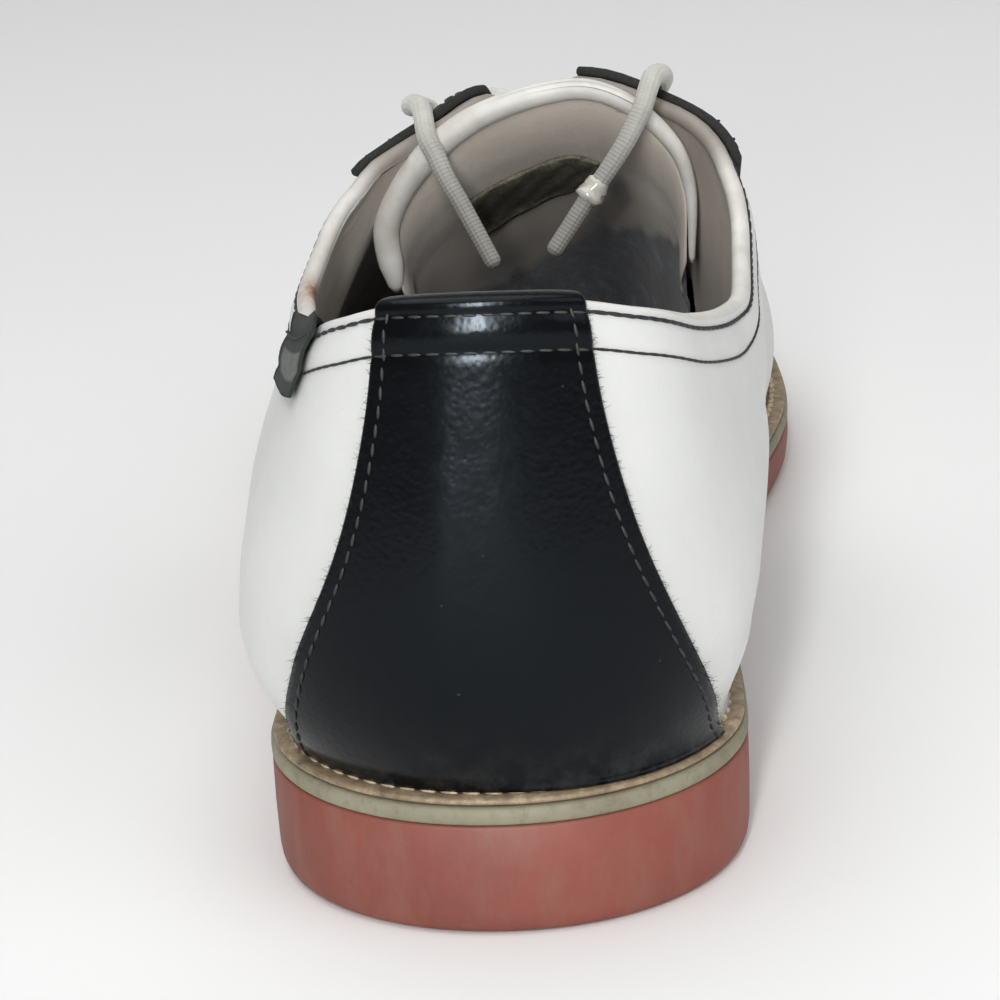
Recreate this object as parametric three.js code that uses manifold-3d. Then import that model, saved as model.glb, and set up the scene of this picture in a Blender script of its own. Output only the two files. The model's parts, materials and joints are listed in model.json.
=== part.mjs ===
// A left saddle shoe: black saddle and heel counter over a white upper, on a red rubber sole.
// Millimetres, +Z up, +Y toward the toe, +X the inner (medial) side of the left foot.
// The origin is the middle of the heel's tread, on the floor.
import * as THREE from "three";
import Module from "manifold-3d";

const wasm = await Module();
wasm.setup();

// Sizes a maker would set first.
const LENGTH = 280;
const HEEL_WIDTH = 67;
const BALL_WIDTH = 92;
const BACK_HEIGHT = 88.7;
const INSTEP_HEIGHT = 93;
const HEEL_HEIGHT = 19.8;

// Materials' thicknesses and the gap left between neighbours.
const WALL = 2.2;
const OVERLAY = 1.2;
const WELT = 0.9;
const MIDSOLE = 2.4;
const INSOLE = 3;
const TONGUE = 2.6;
const RIBBON = 0.8;
const GAP = 0.3;
const STAND_OFF = 0.45;

// The heel's back edge lies this far behind the origin.
const BACK = 0.12 * LENGTH;
const HEEL_CAP = 0.1215 * LENGTH;
const HEEL_LEAN = 6;
const TOE_CAP = 0.2643 * LENGTH;
const TOE_SHIFT = 0.004 * LENGTH;
const LEDGE = 5;
const WELT_WIDTH = 7.8;
const INSOLE_INSET = 8.7;

// Throat, its eyelets and the lace.
const THROAT = 14;
const THROAT_START = 0.385 * LENGTH;
const THROAT_END = 0.6 * LENGTH;
const CROWN = 22;
const EYELETS = 5;
const EYELET_FIRST = 0.41 * LENGTH;
const EYELET_LAST = 0.558 * LENGTH;
const EYELET_IN = 8.5;
const EYELET_WIDTH = 5.5;
const EYELET_CUT = 16;
const LACE = 3;

// Every table's lengths are shares of the named sizes.
const table = (names, rows) =>
  rows.map((row) => Object.fromEntries(names.map((name, i) => [name, row[i]])));

// Outline seen from above. "ball" goes from the heel's width to the ball's width.
const OUTLINE = table(
  ["along", "ball", "lateral", "medial"],
  [
    [0.0, 0.0, 1.0, 1.0],
    [0.12, 0.0, 1.01, 1.0],
    [0.22, 0.0, 1.03, 0.96],
    [0.32, 0.2, 1.06, 0.86],
    [0.42, 0.5, 1.06, 0.74],
    [0.52, 0.8, 1.04, 0.71],
    [0.62, 1.0, 1.07, 0.8],
    [0.72, 1.0, 1.1, 0.9],
    [0.8, 1.0, 1.06, 0.91],
    [1.0, 1.0, 0.96, 0.9],
  ],
);

// Height of the welt's top, as a share of the heel's height.
const SHANK = table(
  ["along", "height"],
  [
    [0.0, 1.0],
    [0.12, 1.0],
    [0.25, 0.96],
    [0.4, 0.81],
    [0.55, 0.65],
    [0.68, 0.59],
    [0.8, 0.63],
    [0.9, 0.78],
    [1.0, 1.02],
  ],
);

// Underside: a flat heel, the arch behind its breast, a flat forefoot and the toe spring.
const TREAD = table(
  ["along", "lift"],
  [
    [0.0, 0.0],
    [0.2572, 0.0],
    [0.275, 0.3],
    [0.4, 0.27],
    [0.5, 0.12],
    [0.6071, 0.0],
    [0.82, 0.0],
    [0.9, 0.13],
    [1.0, 0.42],
  ],
);

// Half widths of the collar, as shares of the heel's width.
const COLLAR = table(
  ["along", "lateral", "medial"],
  [
    [0.0, 0.42, 0.43],
    [0.05, 0.38, 0.44],
    [0.1, 0.36, 0.43],
    [0.156, 0.4, 0.484],
    [0.206, 0.44, 0.527],
    [0.28, 0.444, 0.52],
    [0.31, 0.415, 0.5],
    [0.33, 0.362, 0.466],
    [0.3464, 0.284, 0.412],
    [0.361, 0.208, 0.315],
    [0.385, 0.1045, 0.1045],
  ],
);

// Upper edge and ridge line. "back" and "instep" are shares of those heights; "cant" lifts the
// medial edge; bulge, rise, reach and drop shape the side, as shares of the ball's width.
const BODY = table(
  ["along", "back", "instep", "cant", "bulge", "rise", "reach", "drop"],
  [
    [0.0, 1.0, 0.0, 0.0, 0.069, 0.149, 0.043, 0.32],
    [0.027, 0.982, 0.0, 0.0, 0.072, 0.149, 0.043, 0.32],
    [0.05, 0.948, 0.0, 0.0, 0.08, 0.149, 0.048, 0.3],
    [0.1, 0.884, 0.0, 0.0, 0.098, 0.149, 0.06, 0.27],
    [0.156, 0.84, 0.0, 0.0, 0.102, 0.149, 0.055, 0.24],
    [0.206, 0.826, 0.0, 0.0, 0.102, 0.149, 0.045, 0.225],
    [0.28, 0.4, 0.446, 0.0, 0.104, 0.149, 0.04, 0.21],
    [0.31, 0.0, 0.878, 0.002, 0.104, 0.154, 0.05, 0.18],
    [0.33, 0.0, 0.911, 0.004, 0.104, 0.16, 0.062, 0.149],
    [0.361, 0.0, 0.973, 0.018, 0.104, 0.165, 0.12, 0.1],
    [0.385, 0.0, 1.003, 0.024, 0.104, 0.17, 0.2, 0.068],
    [0.45, 0.0, 0.902, 0.021, 0.104, 0.17, 0.212, 0.062],
    [0.52, 0.0, 0.793, 0.013, 0.096, 0.16, 0.218, 0.058],
    [0.6, 0.0, 0.675, 0.005, 0.085, 0.149, 0.213, 0.062],
    [0.7, 0.0, 0.576, 0.0, 0.074, 0.149, 0.234, 0.05],
    [0.8, 0.0, 0.522, 0.0, 0.064, 0.149, 0.277, 0.02],
    [1.0, 0.0, 0.467, 0.0, 0.043, 0.149, 0.277, 0.0],
  ],
);

// How much each side of the body swells, as shares of the bulge and the reach above.
const SWELL = table(
  ["along", "lateral", "medial"],
  [
    [0.0, 1.0, 1.0],
    [0.03, 1.15, 0.98],
    [0.08, 1.36, 0.95],
    [0.25, 1.36, 0.95],
    [0.36, 1.05, 1.0],
    [0.5, 1.0, 1.0],
  ],
);

// Side edges of the heel counter, in steps round the heel cap, by share of the side's height.
const COUNTER = table(
  ["up", "lateral", "medial"],
  [
    [0.0, 0.69, 0.76],
    [0.1, 0.645, 0.7],
    [0.36, 0.515, 0.52],
    [0.6, 0.385, 0.39],
    [0.82, 0.315, 0.32],
    [1.0, 0.292, 0.3],
  ],
);

// Rear and front edges of the saddle, along the shoe, by share of the side's height.
const SADDLE = table(
  ["up", "rear", "front"],
  [
    [0.0, 0.335, 0.59],
    [0.3, 0.362, 0.57],
    [0.6, 0.362, 0.578],
    [0.85, 0.345, 0.622],
    [1.0, 0.3286, 0.65],
  ],
);

// Tongue: depth below the upper's face, the edges' extra depth and the half span across the
// instep, as shares of the ball's width.
const TONGUE_SHAPE = table(
  ["along", "depth", "sink", "span"],
  [
    [0.335, 0.07, 0.03, 0.44],
    [0.385, 0.07, 0.03, 0.4],
    [0.45, 0.07, 0.02, 0.25],
    [0.57, 0.069, 0.0, 0.19],
    [0.607, 0.03, 0.0, 0.17],
    [0.63, 0.03, 0.0, 0.16],
  ],
);

// Free end of the tongue, an arch over the collar: across it, as shares of the ball's width and of
// the instep's height.
const TONGUE_END = table(
  ["across", "x", "z"],
  [
    [-1.0, -0.217, 0.688],
    [-0.82, -0.226, 0.806],
    [-0.6, -0.165, 0.913],
    [-0.34, -0.055, 0.998],
    [0.0, 0.103, 1.04],
    [0.27, 0.201, 1.013],
    [0.56, 0.283, 0.935],
    [0.8, 0.313, 0.844],
    [1.0, 0.311, 0.72],
  ],
);
const TONGUE_TOP = 0.335 * LENGTH;
const TONGUE_BOW = 2.5;
const TONGUE_BLEND = 8;
const TONGUE_FRONT = 0.628 * LENGTH;
const TONGUE_SLOPE = 0.5;

// Side tab, along the shoe.
const TAB_BACK = 0.093 * LENGTH;
const TAB_FRONT = 0.172 * LENGTH;

// Rows up the side.
const ROWS = 8;

// Stations along the straight part of the sides, in shares of the length.
const STATIONS = [
  0.155, 0.19, 0.225, 0.2572, 0.275, 0.2929, 0.3107, 0.3286, 0.3464, 0.3607, 0.373, 0.385, 0.414,
  0.45, 0.486, 0.53, 0.575, 0.607, 0.65, 0.695,
];

const clamp = (value, low, high) => Math.min(Math.max(value, low), high);
const mix = (a, b, share) => a + (b - a) * share;
const smooth = (value) => {
  const k = clamp(value, 0, 1);
  return k * k * (3 - 2 * k);
};
const add = (a, b, scale = 1) => [a[0] + b[0] * scale, a[1] + b[1] * scale, a[2] + b[2] * scale];
const between = (a, b, share) => a.map((value, i) => mix(value, b[i], share));
const minus = (a, b) => [a[0] - b[0], a[1] - b[1], a[2] - b[2]];
const cross = (a, b) => [
  a[1] * b[2] - a[2] * b[1],
  a[2] * b[0] - a[0] * b[2],
  a[0] * b[1] - a[1] * b[0],
];
const size = (a) => Math.hypot(a[0], a[1], a[2]);
const unit = (a) => a.map((value) => value / size(a));

// Smooth curve through a table's column.
function curve(rows, by, key) {
  const xs = rows.map((row) => row[by]);
  const ys = rows.map((row) => row[key]);
  const last = xs.length - 1;
  const slopes = xs.map((_, i) => {
    const a = Math.max(i - 1, 0);
    const b = Math.min(i + 1, last);
    return (ys[b] - ys[a]) / (xs[b] - xs[a]);
  });
  return (value) => {
    const x = clamp(value, xs[0], xs[last]);
    const i = Math.min(xs.findLastIndex((start) => start <= x), last - 1);
    const h = xs[i + 1] - xs[i];
    const s = (x - xs[i]) / h;
    const rise = s * (1 - s) ** 2 * h * slopes[i] + s * s * (s - 1) * h * slopes[i + 1];
    return (1 + 2 * s) * (1 - s) ** 2 * ys[i] + s * s * (3 - 2 * s) * ys[i + 1] + rise;
  };
}

// Straight lines through a table's column.
function steps(rows, by, key) {
  return (value) => {
    const next = rows.findIndex((row) => row[by] > value);
    if (next <= 0) return next === 0 ? rows[0][key] : rows.at(-1)[key];
    const [a, b] = [rows[next - 1], rows[next]];
    return mix(a[key], b[key], (value - a[by]) / (b[by] - a[by]));
  };
}

const ballShare = curve(OUTLINE, "along", "ball");
const bothSides = (rows) => ({
  lateral: curve(rows, "along", "lateral"),
  medial: curve(rows, "along", "medial"),
});
const outlineShare = bothSides(OUTLINE);
const shank = curve(SHANK, "along", "height");
const tread = steps(TREAD, "along", "lift");
const collar = bothSides(COLLAR);
const swell = bothSides(SWELL);
const body = Object.fromEntries(Object.keys(BODY[0]).map((key) => [key, curve(BODY, "along", key)]));

const weltTop = (d) => HEEL_HEIGHT * shank(d / LENGTH);
const floorSide = (d) => HEEL_HEIGHT * tread(d / LENGTH);
const shift = (d) => TOE_SHIFT * smooth((d - 0.6 * LENGTH) / (0.4 * LENGTH));
const ridge = (d) => 0.0143 * LENGTH * smooth((d - 0.2 * LENGTH) / (0.25 * LENGTH)) + 0.6 * shift(d);
const sideName = (w) => (w < 0 ? "lateral" : "medial");

// Half width of the sole's edge at a distance from the heel's back.
function halfWidth(d, w) {
  const t = d / LENGTH;
  return (mix(HEEL_WIDTH, BALL_WIDTH, ballShare(t)) / 2) * outlineShare[sideName(w)](t);
}

// Steps round the shoe: 0 is the heel's back, 0 to 1 the heel cap, 1 to 2 the side, 2 to 3 the toe
// cap. The medial side counts up, the lateral side down.
const wrap = (w) => (w > 3 ? w - 6 : w < -3 ? w + 6 : w);
const stepAt = (d) => 1 + (d - HEEL_CAP) / (LENGTH - HEEL_CAP - TOE_CAP);
const alongAt = (u) => HEEL_CAP + (LENGTH - HEEL_CAP - TOE_CAP) * (u - 1);

function outline(step, inset) {
  const w = wrap(step);
  const u = Math.abs(w);
  const side = w < 0 ? -1 : 1;
  let d = alongAt(u);
  let half = halfWidth(d, w) - inset;
  if (u < 1) {
    const angle = (u * Math.PI) / 2;
    d = inset + (HEEL_CAP - inset) * (1 - Math.cos(angle) ** 0.976);
    half = (halfWidth(HEEL_CAP, w) - inset) * Math.sin(angle) ** 0.976;
  } else if (u > 2) {
    const angle = ((u - 2) * Math.PI) / 2;
    d = LENGTH - inset - (TOE_CAP - inset) * (1 - Math.sin(angle) ** 0.889);
    half = (halfWidth(d, w) - inset) * Math.max(Math.cos(angle), 0) ** 0.889;
  }
  return [shift(d) + side * half, d - BACK];
}

function outward(w) {
  const a = outline(w - 0.004, LEDGE);
  const b = outline(w + 0.004, LEDGE);
  return unit([b[1] - a[1], a[0] - b[0], 0]);
}

// One side's section, from the foot at the welt to the collar, the throat or the ridge.
function section(step) {
  const w = wrap(step);
  const u = Math.abs(w);
  const side = w < 0 ? -1 : 1;
  const [x, y] = outline(w, LEDGE);
  const n = outward(w);
  const foot = [x, y, weltTop(y + BACK) + GAP];
  let d = y + BACK;
  let half = THROAT / 2;
  if (u < 1) {
    const angle = (u * Math.PI) / 2;
    d = HEEL_LEAN + (HEEL_CAP - HEEL_LEAN) * (1 - Math.cos(angle) ** 0.976);
    half = HEEL_WIDTH * collar[sideName(w)](d / LENGTH) * Math.sin(angle) ** 0.976;
  } else if (u > 2) {
    const angle = ((u - 2) * Math.PI) / 2;
    const start = LENGTH - TOE_CAP;
    d = start + (0.86 * LENGTH - start) * Math.sin(angle);
    half = (THROAT / 2) * Math.max(Math.cos(angle), 0);
  } else if (d < THROAT_START) {
    half = HEEL_WIDTH * collar[sideName(w)](d / LENGTH);
  }
  const t = d / LENGTH;
  const height = BACK_HEIGHT * body.back(t) + INSTEP_HEIGHT * body.instep(t);
  const cant = (side * BALL_WIDTH * body.cant(t)) / 2;
  const top = [(u < 1 ? 0 : ridge(d)) + side * half, d - BACK, height + cant];
  const full = BALL_WIDTH * swell[sideName(w)](t);
  const low = add(add(foot, n, full * body.bulge(t) * 1.333), [0, 0, BALL_WIDTH * body.rise(t)]);
  const high = add(add(top, n, full * body.reach(t)), [0, 0, -BALL_WIDTH * body.drop(t)]);
  return { foot, low, high, top, half };
}

// A point of the upper's form: v runs 0 to 1 up the side and 1 to 2 from the edge to the ridge.
function form(w, v) {
  const s = section(w);
  if (v <= 1) {
    const k = 1 - v;
    const parts = [k ** 3, 3 * k * k * v, 3 * k * v * v, v ** 3];
    const points = [s.foot, s.low, s.high, s.top];
    return [0, 1, 2].map((i) => parts.reduce((sum, part, j) => sum + part * points[j][i], 0));
  }
  const share = (v - 1) / 2;
  const point = between(s.top, section(-w).top, share);
  point[2] += (4 * share * (1 - share) * s.half ** 2) / (2 * CROWN);
  return point;
}

// The form's outward direction; level at the foot, so the wall stands flat on the welt.
function facing(w, v) {
  const e = 0.004;
  const at = Math.abs(w) > 2.99 && v > 0.99 ? 0.99 : v;
  const across = minus(form(wrap(w + e), at), form(wrap(w - e), at));
  let up = minus(form(w, Math.min(at + e, 2)), form(w, Math.max(at - e, 0)));
  if (at >= 2) up = minus(form(-w, 2 - e), form(w, 2 - e));
  const n = unit(cross(across, up));
  return v >= 0.12 ? n : unit(between(outward(w), n, smooth(v / 0.12)));
}

const pushed = (w, v, out) => add(form(w, v), facing(w, v), out);

// Closed mesh from triangles whose equal points are merged.
function closed(points, triangles) {
  const seen = new Map();
  const merged = [];
  const ids = points.map((point) => {
    const key = point.map((value) => Math.round(value * 500)).join();
    if (!seen.has(key)) {
      seen.set(key, merged.length);
      merged.push(point);
    }
    return seen.get(key);
  });
  const faces = triangles
    .map((corners) => corners.map((i) => ids[i]))
    .filter(([a, b, c]) => a !== b && b !== c && c !== a);
  const volume = faces.reduce((sum, [a, b, c]) => {
    const [p, n] = [merged[a], cross(merged[b], merged[c])];
    return sum + p[0] * n[0] + p[1] * n[1] + p[2] * n[2];
  }, 0);
  if (volume < 0) faces.forEach((face) => face.reverse());
  const geometry = new THREE.BufferGeometry();
  geometry.setAttribute("position", new THREE.Float32BufferAttribute(merged.flat(), 3));
  geometry.setIndex(faces.flat());
  geometry.computeVertexNormals();
  return geometry;
}

// A plate from four-cornered cells: a face, a back, and walls along every free edge.
function plate(cells, face, back) {
  const points = [];
  const triangles = [];
  const seen = new Map();
  const free = new Map();
  const place = (corner) => {
    const front = face(...corner);
    const key = front.map((value) => Math.round(value * 500)).join();
    if (!seen.has(key)) {
      seen.set(key, points.length);
      points.push(front, back(...corner));
    }
    return seen.get(key);
  };
  for (const cell of cells) {
    const ids = cell.map(place);
    for (const [a, b, c] of [[0, 1, 2], [0, 2, 3]]) {
      triangles.push([ids[a], ids[b], ids[c]], [ids[c] + 1, ids[b] + 1, ids[a] + 1]);
    }
    ids.forEach((a, i) => {
      const b = ids[(i + 1) % 4];
      if (a === b) return;
      if (!free.delete(`${b} ${a}`)) free.set(`${a} ${b}`, [a, b]);
    });
  }
  for (const [a, b] of free.values()) triangles.push([b, a, a + 1], [b, a + 1, b + 1]);
  return closed(points, triangles);
}

// A plate that follows the form, its face a distance out from it.
const sheet = (cells, out, thickness) =>
  plate(
    cells,
    (w, v) => pushed(w, v, out),
    (w, v) => pushed(w, v, out - thickness),
  );

// Cells between neighbouring columns and rows.
function gridCells(columns, rows, corner = (w, v) => [w, v]) {
  const cells = [];
  for (let i = 0; i + 1 < columns.length; i += 1) {
    for (let j = 0; j + 1 < rows.length; j += 1) {
      const [a, b, lower, upper] = [columns[i], columns[i + 1], rows[j], rows[j + 1]];
      cells.push([corner(a, lower), corner(b, lower), corner(b, upper), corner(a, upper)]);
    }
  }
  return cells;
}

const mirrored = (cells) => cells.map((cell) => cell.map(([w, v]) => [-w, v]).reverse());
const range = (count) => Array.from({ length: count + 1 }, (_, i) => i / count);

const sideSteps = [
  ...range(8),
  ...STATIONS.map((share) => stepAt(share * LENGTH)),
  ...range(6).map((share) => 2 + share),
];
const roundSteps = [...sideSteps.slice(1).reverse().map((u) => -u), ...sideSteps];
const roundCount = roundSteps.length - 1;
const loopSteps = roundSteps
  .slice(1)
  .map((_, i) => roundSteps[(i + sideSteps.length - 1) % roundCount]);

// The part over the ridge, in front of the throat's rounded end.
const ROWS_OVER = [1, 1.25, 1.5, 2];
const throatEdge = (v) => {
  const radius = THROAT / 2;
  const across = radius * (2 - v);
  return stepAt(THROAT_END - radius + Math.sqrt(radius ** 2 - across ** 2));
};
function bridgeCells(columns, first) {
  const at = (w, v) => (w === first ? throatEdge(v) : w);
  const cells = gridCells([first, ...columns], ROWS_OVER, (w, v) => [at(w, v), v]);
  return [...cells, ...mirrored(cells)];
}
const throatLast = throatEdge(1);

// Round holes for the eyelets.
const asManifold = (geometry) => {
  const triVerts = new Uint32Array(geometry.index.array);
  const vertProperties = new Float32Array(geometry.attributes.position.array);
  return new wasm.Manifold(new wasm.Mesh({ numProp: 3, vertProperties, triVerts }));
};
const inThrees = (array) =>
  range(array.length / 3 - 1).map((_, i) => Array.from(array.slice(3 * i, 3 * i + 3)));
const fromManifold = (solid) => {
  const mesh = solid.getMesh();
  return closed(inThrees(mesh.vertProperties), inThrees(mesh.triVerts));
};

// How far up the side a point lies that is a given distance in from the edge.
function upAt(w, distance) {
  const edge = form(w, 1);
  let [low, high] = [0.3, 1];
  for (let i = 0; i < 30; i += 1) {
    const middle = (low + high) / 2;
    if (size(minus(form(w, middle), edge)) > distance) low = middle;
    else high = middle;
  }
  return low;
}

const eyelets = range(EYELETS - 1).map((share) => stepAt(mix(EYELET_LAST, EYELET_FIRST, share)));

function eyeletCutter(w) {
  const v = upAt(w, EYELET_IN);
  const cutter = new THREE.CylinderGeometry(EYELET_WIDTH / 2, EYELET_WIDTH / 2, EYELET_CUT, 10);
  const n = new THREE.Vector3(...facing(w, v));
  cutter.applyQuaternion(new THREE.Quaternion().setFromUnitVectors(new THREE.Vector3(0, 1, 0), n));
  cutter.translate(...form(w, v));
  return solidOf(cutter);
}

// A three.js geometry as a manifold solid.
function solidOf(geometry) {
  const source = geometry.index ? geometry.toNonIndexed() : geometry;
  const points = inThrees(source.attributes.position.array);
  const triangles = range(points.length / 3 - 1).map((_, i) => [3 * i, 3 * i + 1, 3 * i + 2]);
  return asManifold(closed(points, triangles));
}

function withEyelets(geometry) {
  const cutters = eyelets.flatMap((u) => [eyeletCutter(u), eyeletCutter(-u)]);
  return fromManifold(cutters.reduce((solid, cutter) => solid.subtract(cutter), asManifold(geometry)));
}

// Upper: one hollow wall, open at the collar, the throat and underneath.
function makeUpper() {
  const cells = gridCells(roundSteps, range(ROWS));
  const over = sideSteps.filter((u) => u > throatLast + 1e-6);
  cells.push(...bridgeCells(over, throatLast));
  return withEyelets(sheet(cells, 0, WALL));
}

// Saddle: one overlay, from the welt up both sides and over the instep in front of the throat.
function makeSaddle() {
  const rear = curve(SADDLE, "up", "rear");
  const front = curve(SADDLE, "up", "front");
  const tops = STATIONS.filter((share) => share > 0.328 && share < 0.652);
  const shares = tops.map((share) => (share - rear(1)) / (front(1) - rear(1)));
  const at = (share, v) => [stepAt(LENGTH * mix(rear(v), front(v), share)), v];
  const half = gridCells(shares, range(ROWS), at);
  const over = tops.map((share) => stepAt(share * LENGTH)).filter((u) => u > throatLast + 1e-6);
  const cells = [...half, ...mirrored(half), ...bridgeCells(over, throatLast)];
  return withEyelets(sheet(cells, STAND_OFF + OVERLAY, OVERLAY));
}

// Heel counter: a tapered overlay up the back of the heel.
function makeCounter() {
  const lateral = curve(COUNTER, "up", "lateral");
  const medial = curve(COUNTER, "up", "medial");
  const at = (share, v) => [mix(-lateral(v), medial(v), share), v];
  return sheet(gridCells(range(16), range(ROWS), at), STAND_OFF + OVERLAY, OVERLAY);
}

// Tongue: an arched plate that follows the instep below the facings and lifts to its own arch at the
// free end, past the throat.
function makeTongue() {
  const depth = curve(TONGUE_SHAPE, "along", "depth");
  const sink = curve(TONGUE_SHAPE, "along", "sink");
  const span = curve(TONGUE_SHAPE, "along", "span");
  const endX = curve(TONGUE_END, "across", "x");
  const endZ = curve(TONGUE_END, "across", "z");
  const face = (share, across) => {
    const end = TONGUE_TOP + TONGUE_BOW * across ** 2;
    const d = mix(end, TONGUE_FRONT, share);
    const inside = Math.max(d, THROAT_START);
    const reach = Math.abs(across) * BALL_WIDTH * span(d / LENGTH);
    const w = (across < 0 ? -1 : 1) * stepAt(inside);
    const v = reach < THROAT / 2 ? 2 - reach / (THROAT / 2) : upAt(w, reach - THROAT / 2);
    const under = BALL_WIDTH * (depth(d / LENGTH) + sink(d / LENGTH) * across * across);
    const below = add(pushed(w, v, -under), [0, -1, TONGUE_SLOPE], inside - d);
    const fall = TONGUE_SLOPE * (d - end);
    const arch = [BALL_WIDTH * endX(across), d - BACK, INSTEP_HEIGHT * endZ(across) - fall];
    return between(arch, below, smooth((d - end) / TONGUE_BLEND));
  };
  const e = 0.01;
  const back = (share, across) => {
    const along = minus(face(Math.min(share + e, 1), across), face(Math.max(share - e, 0), across));
    const over = minus(face(share, Math.min(across + e, 1)), face(share, Math.max(across - e, -1)));
    return add(face(share, across), unit(cross(along, over)), TONGUE);
  };
  const across = [1, 0.84, 0.68, 0.52, 0.36, 0.18, 0, -0.18, -0.36, -0.52, -0.68, -0.84, -1];
  return plate(gridCells(range(12), across), face, back);
}

// Closed loops of points round the sole, stacked into one body.
const loop = (inset, height) =>
  loopSteps.map((w) => {
    const [x, y] = outline(w, inset);
    return [x, y, height(y + BACK)];
  });

function stack(loops, hollow = false) {
  const count = loops[0].length;
  const triangles = [];
  const last = hollow ? loops.length : loops.length - 1;
  for (let ring = 0; ring < last; ring += 1) {
    const [a, b] = [ring * count, ((ring + 1) % loops.length) * count];
    for (let i = 0; i < count; i += 1) {
      const j = (i + 1) % count;
      triangles.push([a + i, a + j, b + j], [a + i, b + j, b + i]);
    }
  }
  for (let i = 0; !hollow && i < count / 2; i += 1) {
    const [p, q] = [(count - i) % count, count - i - 1];
    const top = (loops.length - 1) * count;
    triangles.push([i + 1, i, p], [i + 1, p, q]);
    triangles.push([top + p, top + i, top + i + 1], [top + p, top + i + 1, top + q]);
  }
  return closed(loops.flat(), triangles);
}

const weltFoot = (d) => weltTop(d) - WELT;
const midsoleTop = (d) => weltFoot(d) - GAP;
const midsoleFoot = (d) => midsoleTop(d) - MIDSOLE;
const outsoleTop = (d) => midsoleFoot(d) - GAP;

const makeOutsole = () =>
  stack([
    loop(1.6, floorSide),
    loop(0.8, (d) => floorSide(d) + 0.8),
    loop(0.4, (d) => floorSide(d) + 2.4),
    loop(0.1, outsoleTop),
  ]);
const makeMidsole = () => stack([loop(0.2, midsoleFoot), loop(0, midsoleTop)]);
const makeWelt = () =>
  stack(
    [
      loop(0.3, weltFoot),
      loop(0.5, weltTop),
      loop(WELT_WIDTH, weltTop),
      loop(WELT_WIDTH, weltFoot),
    ],
    true,
  );
const makeInsole = () =>
  stack([
    loop(INSOLE_INSET, (d) => midsoleTop(d) + GAP),
    loop(INSOLE_INSET, (d) => midsoleTop(d) + GAP + INSOLE - 0.6),
    loop(INSOLE_INSET + 0.8, (d) => midsoleTop(d) + GAP + INSOLE),
  ]);

// Side tab: a ribbon folded over the lateral collar.
function makeTab() {
  const outside = GAP + 0.15;
  const inside = -WALL - outside;
  const outer = [
    [0.82, outside + RIBBON, 0],
    [0.88, outside + RIBBON, 0],
    [0.94, outside + RIBBON, 0],
    [1, outside + RIBBON, 0.6],
    [1, outside + 0.2, GAP + RIBBON],
    [1, inside - 0.2, GAP + RIBBON],
    [1, inside - RIBBON, 0.5],
    [0.94, inside - RIBBON, 0],
    [0.88, inside - RIBBON, 0],
    [0.82, inside - RIBBON, 0],
  ];
  const inner = [
    [0.82, outside, 0],
    [0.88, outside, 0],
    [0.94, outside, 0],
    [1, outside, 0.1],
    [1, outside - 0.1, GAP],
    [1, inside + 0.1, GAP],
    [1, inside, 0.1],
    [0.94, inside, 0],
    [0.88, inside, 0],
    [0.82, inside, 0],
  ];
  const at = (rows) => (w, row) => {
    const [v, out, lift] = rows[row];
    const up = unit(minus(form(w, v), form(w, v - 0.02)));
    return add(pushed(w, v, out), up, lift);
  };
  const columns = range(4).map((share) => -stepAt(mix(TAB_BACK, TAB_FRONT, share)));
  return plate(gridCells(columns, outer.map((_, row) => row)), at(outer), at(inner));
}

// Cords: round tubes through a list of points.
function tube(points, width, count) {
  const places = points.map((point) => new THREE.Vector3(...point));
  const path = new THREE.CatmullRomCurve3(places, false, "centripetal");
  const shape = new THREE.Shape(
    range(8).slice(1).map((share) => {
      const turn = share * 2 * Math.PI;
      return new THREE.Vector2((width / 2) * Math.cos(turn), (width / 2) * Math.sin(turn));
    }),
  );
  return new THREE.ExtrudeGeometry(shape, { steps: count, bevelEnabled: false, extrudePath: path });
}

// One cord's way up the throat: out of an eyelet, over the edge, under the other facing, up again.
const OVER = STAND_OFF + OVERLAY + GAP + LACE / 2 + 0.3;
const UNDER = -WALL - GAP - LACE / 2 - 0.4;
const MOUTH = STAND_OFF + OVERLAY - 0.2;

// How far from its eyelet, toward the throat's edge, the cord lies under and over a facing.
const LEAVES = 3.2;
const CROSSES = 3;
const ENTERS = 4.5;
const inEyelet = (w, toEdge, out) => pushed(w, upAt(w, EYELET_IN - toEdge), out);
function zigzag(first) {
  const points = [];
  eyelets.forEach((u, i) => {
    const w = (i % 2 === 0 ? first : -first) * u;
    points.push(inEyelet(w, LEAVES, UNDER), inEyelet(w, 0.4, UNDER + 1), inEyelet(w, 0, -WALL / 2));
    points.push(inEyelet(w, 0, MOUTH));
    const next = eyelets[i + 1];
    if (!next) return;
    const across = -Math.sign(w) * next;
    const here = Math.sign(w) * mix(u, next, 0.3);
    const there = -Math.sign(w) * mix(u, next, 0.7);
    points.push(inEyelet(w, 0.6, OVER - 0.5), inEyelet(w, CROSSES, OVER + 0.2));
    points.push(pushed(here, 1, OVER + 0.2));
    points.push(between(pushed(here, 1, OVER), pushed(there, 1, UNDER), 0.5));
    points.push(pushed(there, 1, UNDER - 0.1), inEyelet(across, ENTERS, UNDER - 0.2));
  });
  return points;
}

function makeCrossings() {
  const a = zigzag(1);
  const b = zigzag(-1);
  const bar = [pushed(eyelets[0], 1, UNDER), form(eyelets[0], 2), pushed(-eyelets[0], 1, UNDER)];
  bar[1][2] += UNDER;
  const joined = [a[2], a[1], a[0], ...bar, ...b];
  return fromManifold(solidOf(tube(a, LACE, 45)).add(solidOf(tube(joined, LACE, 50))));
}

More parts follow.
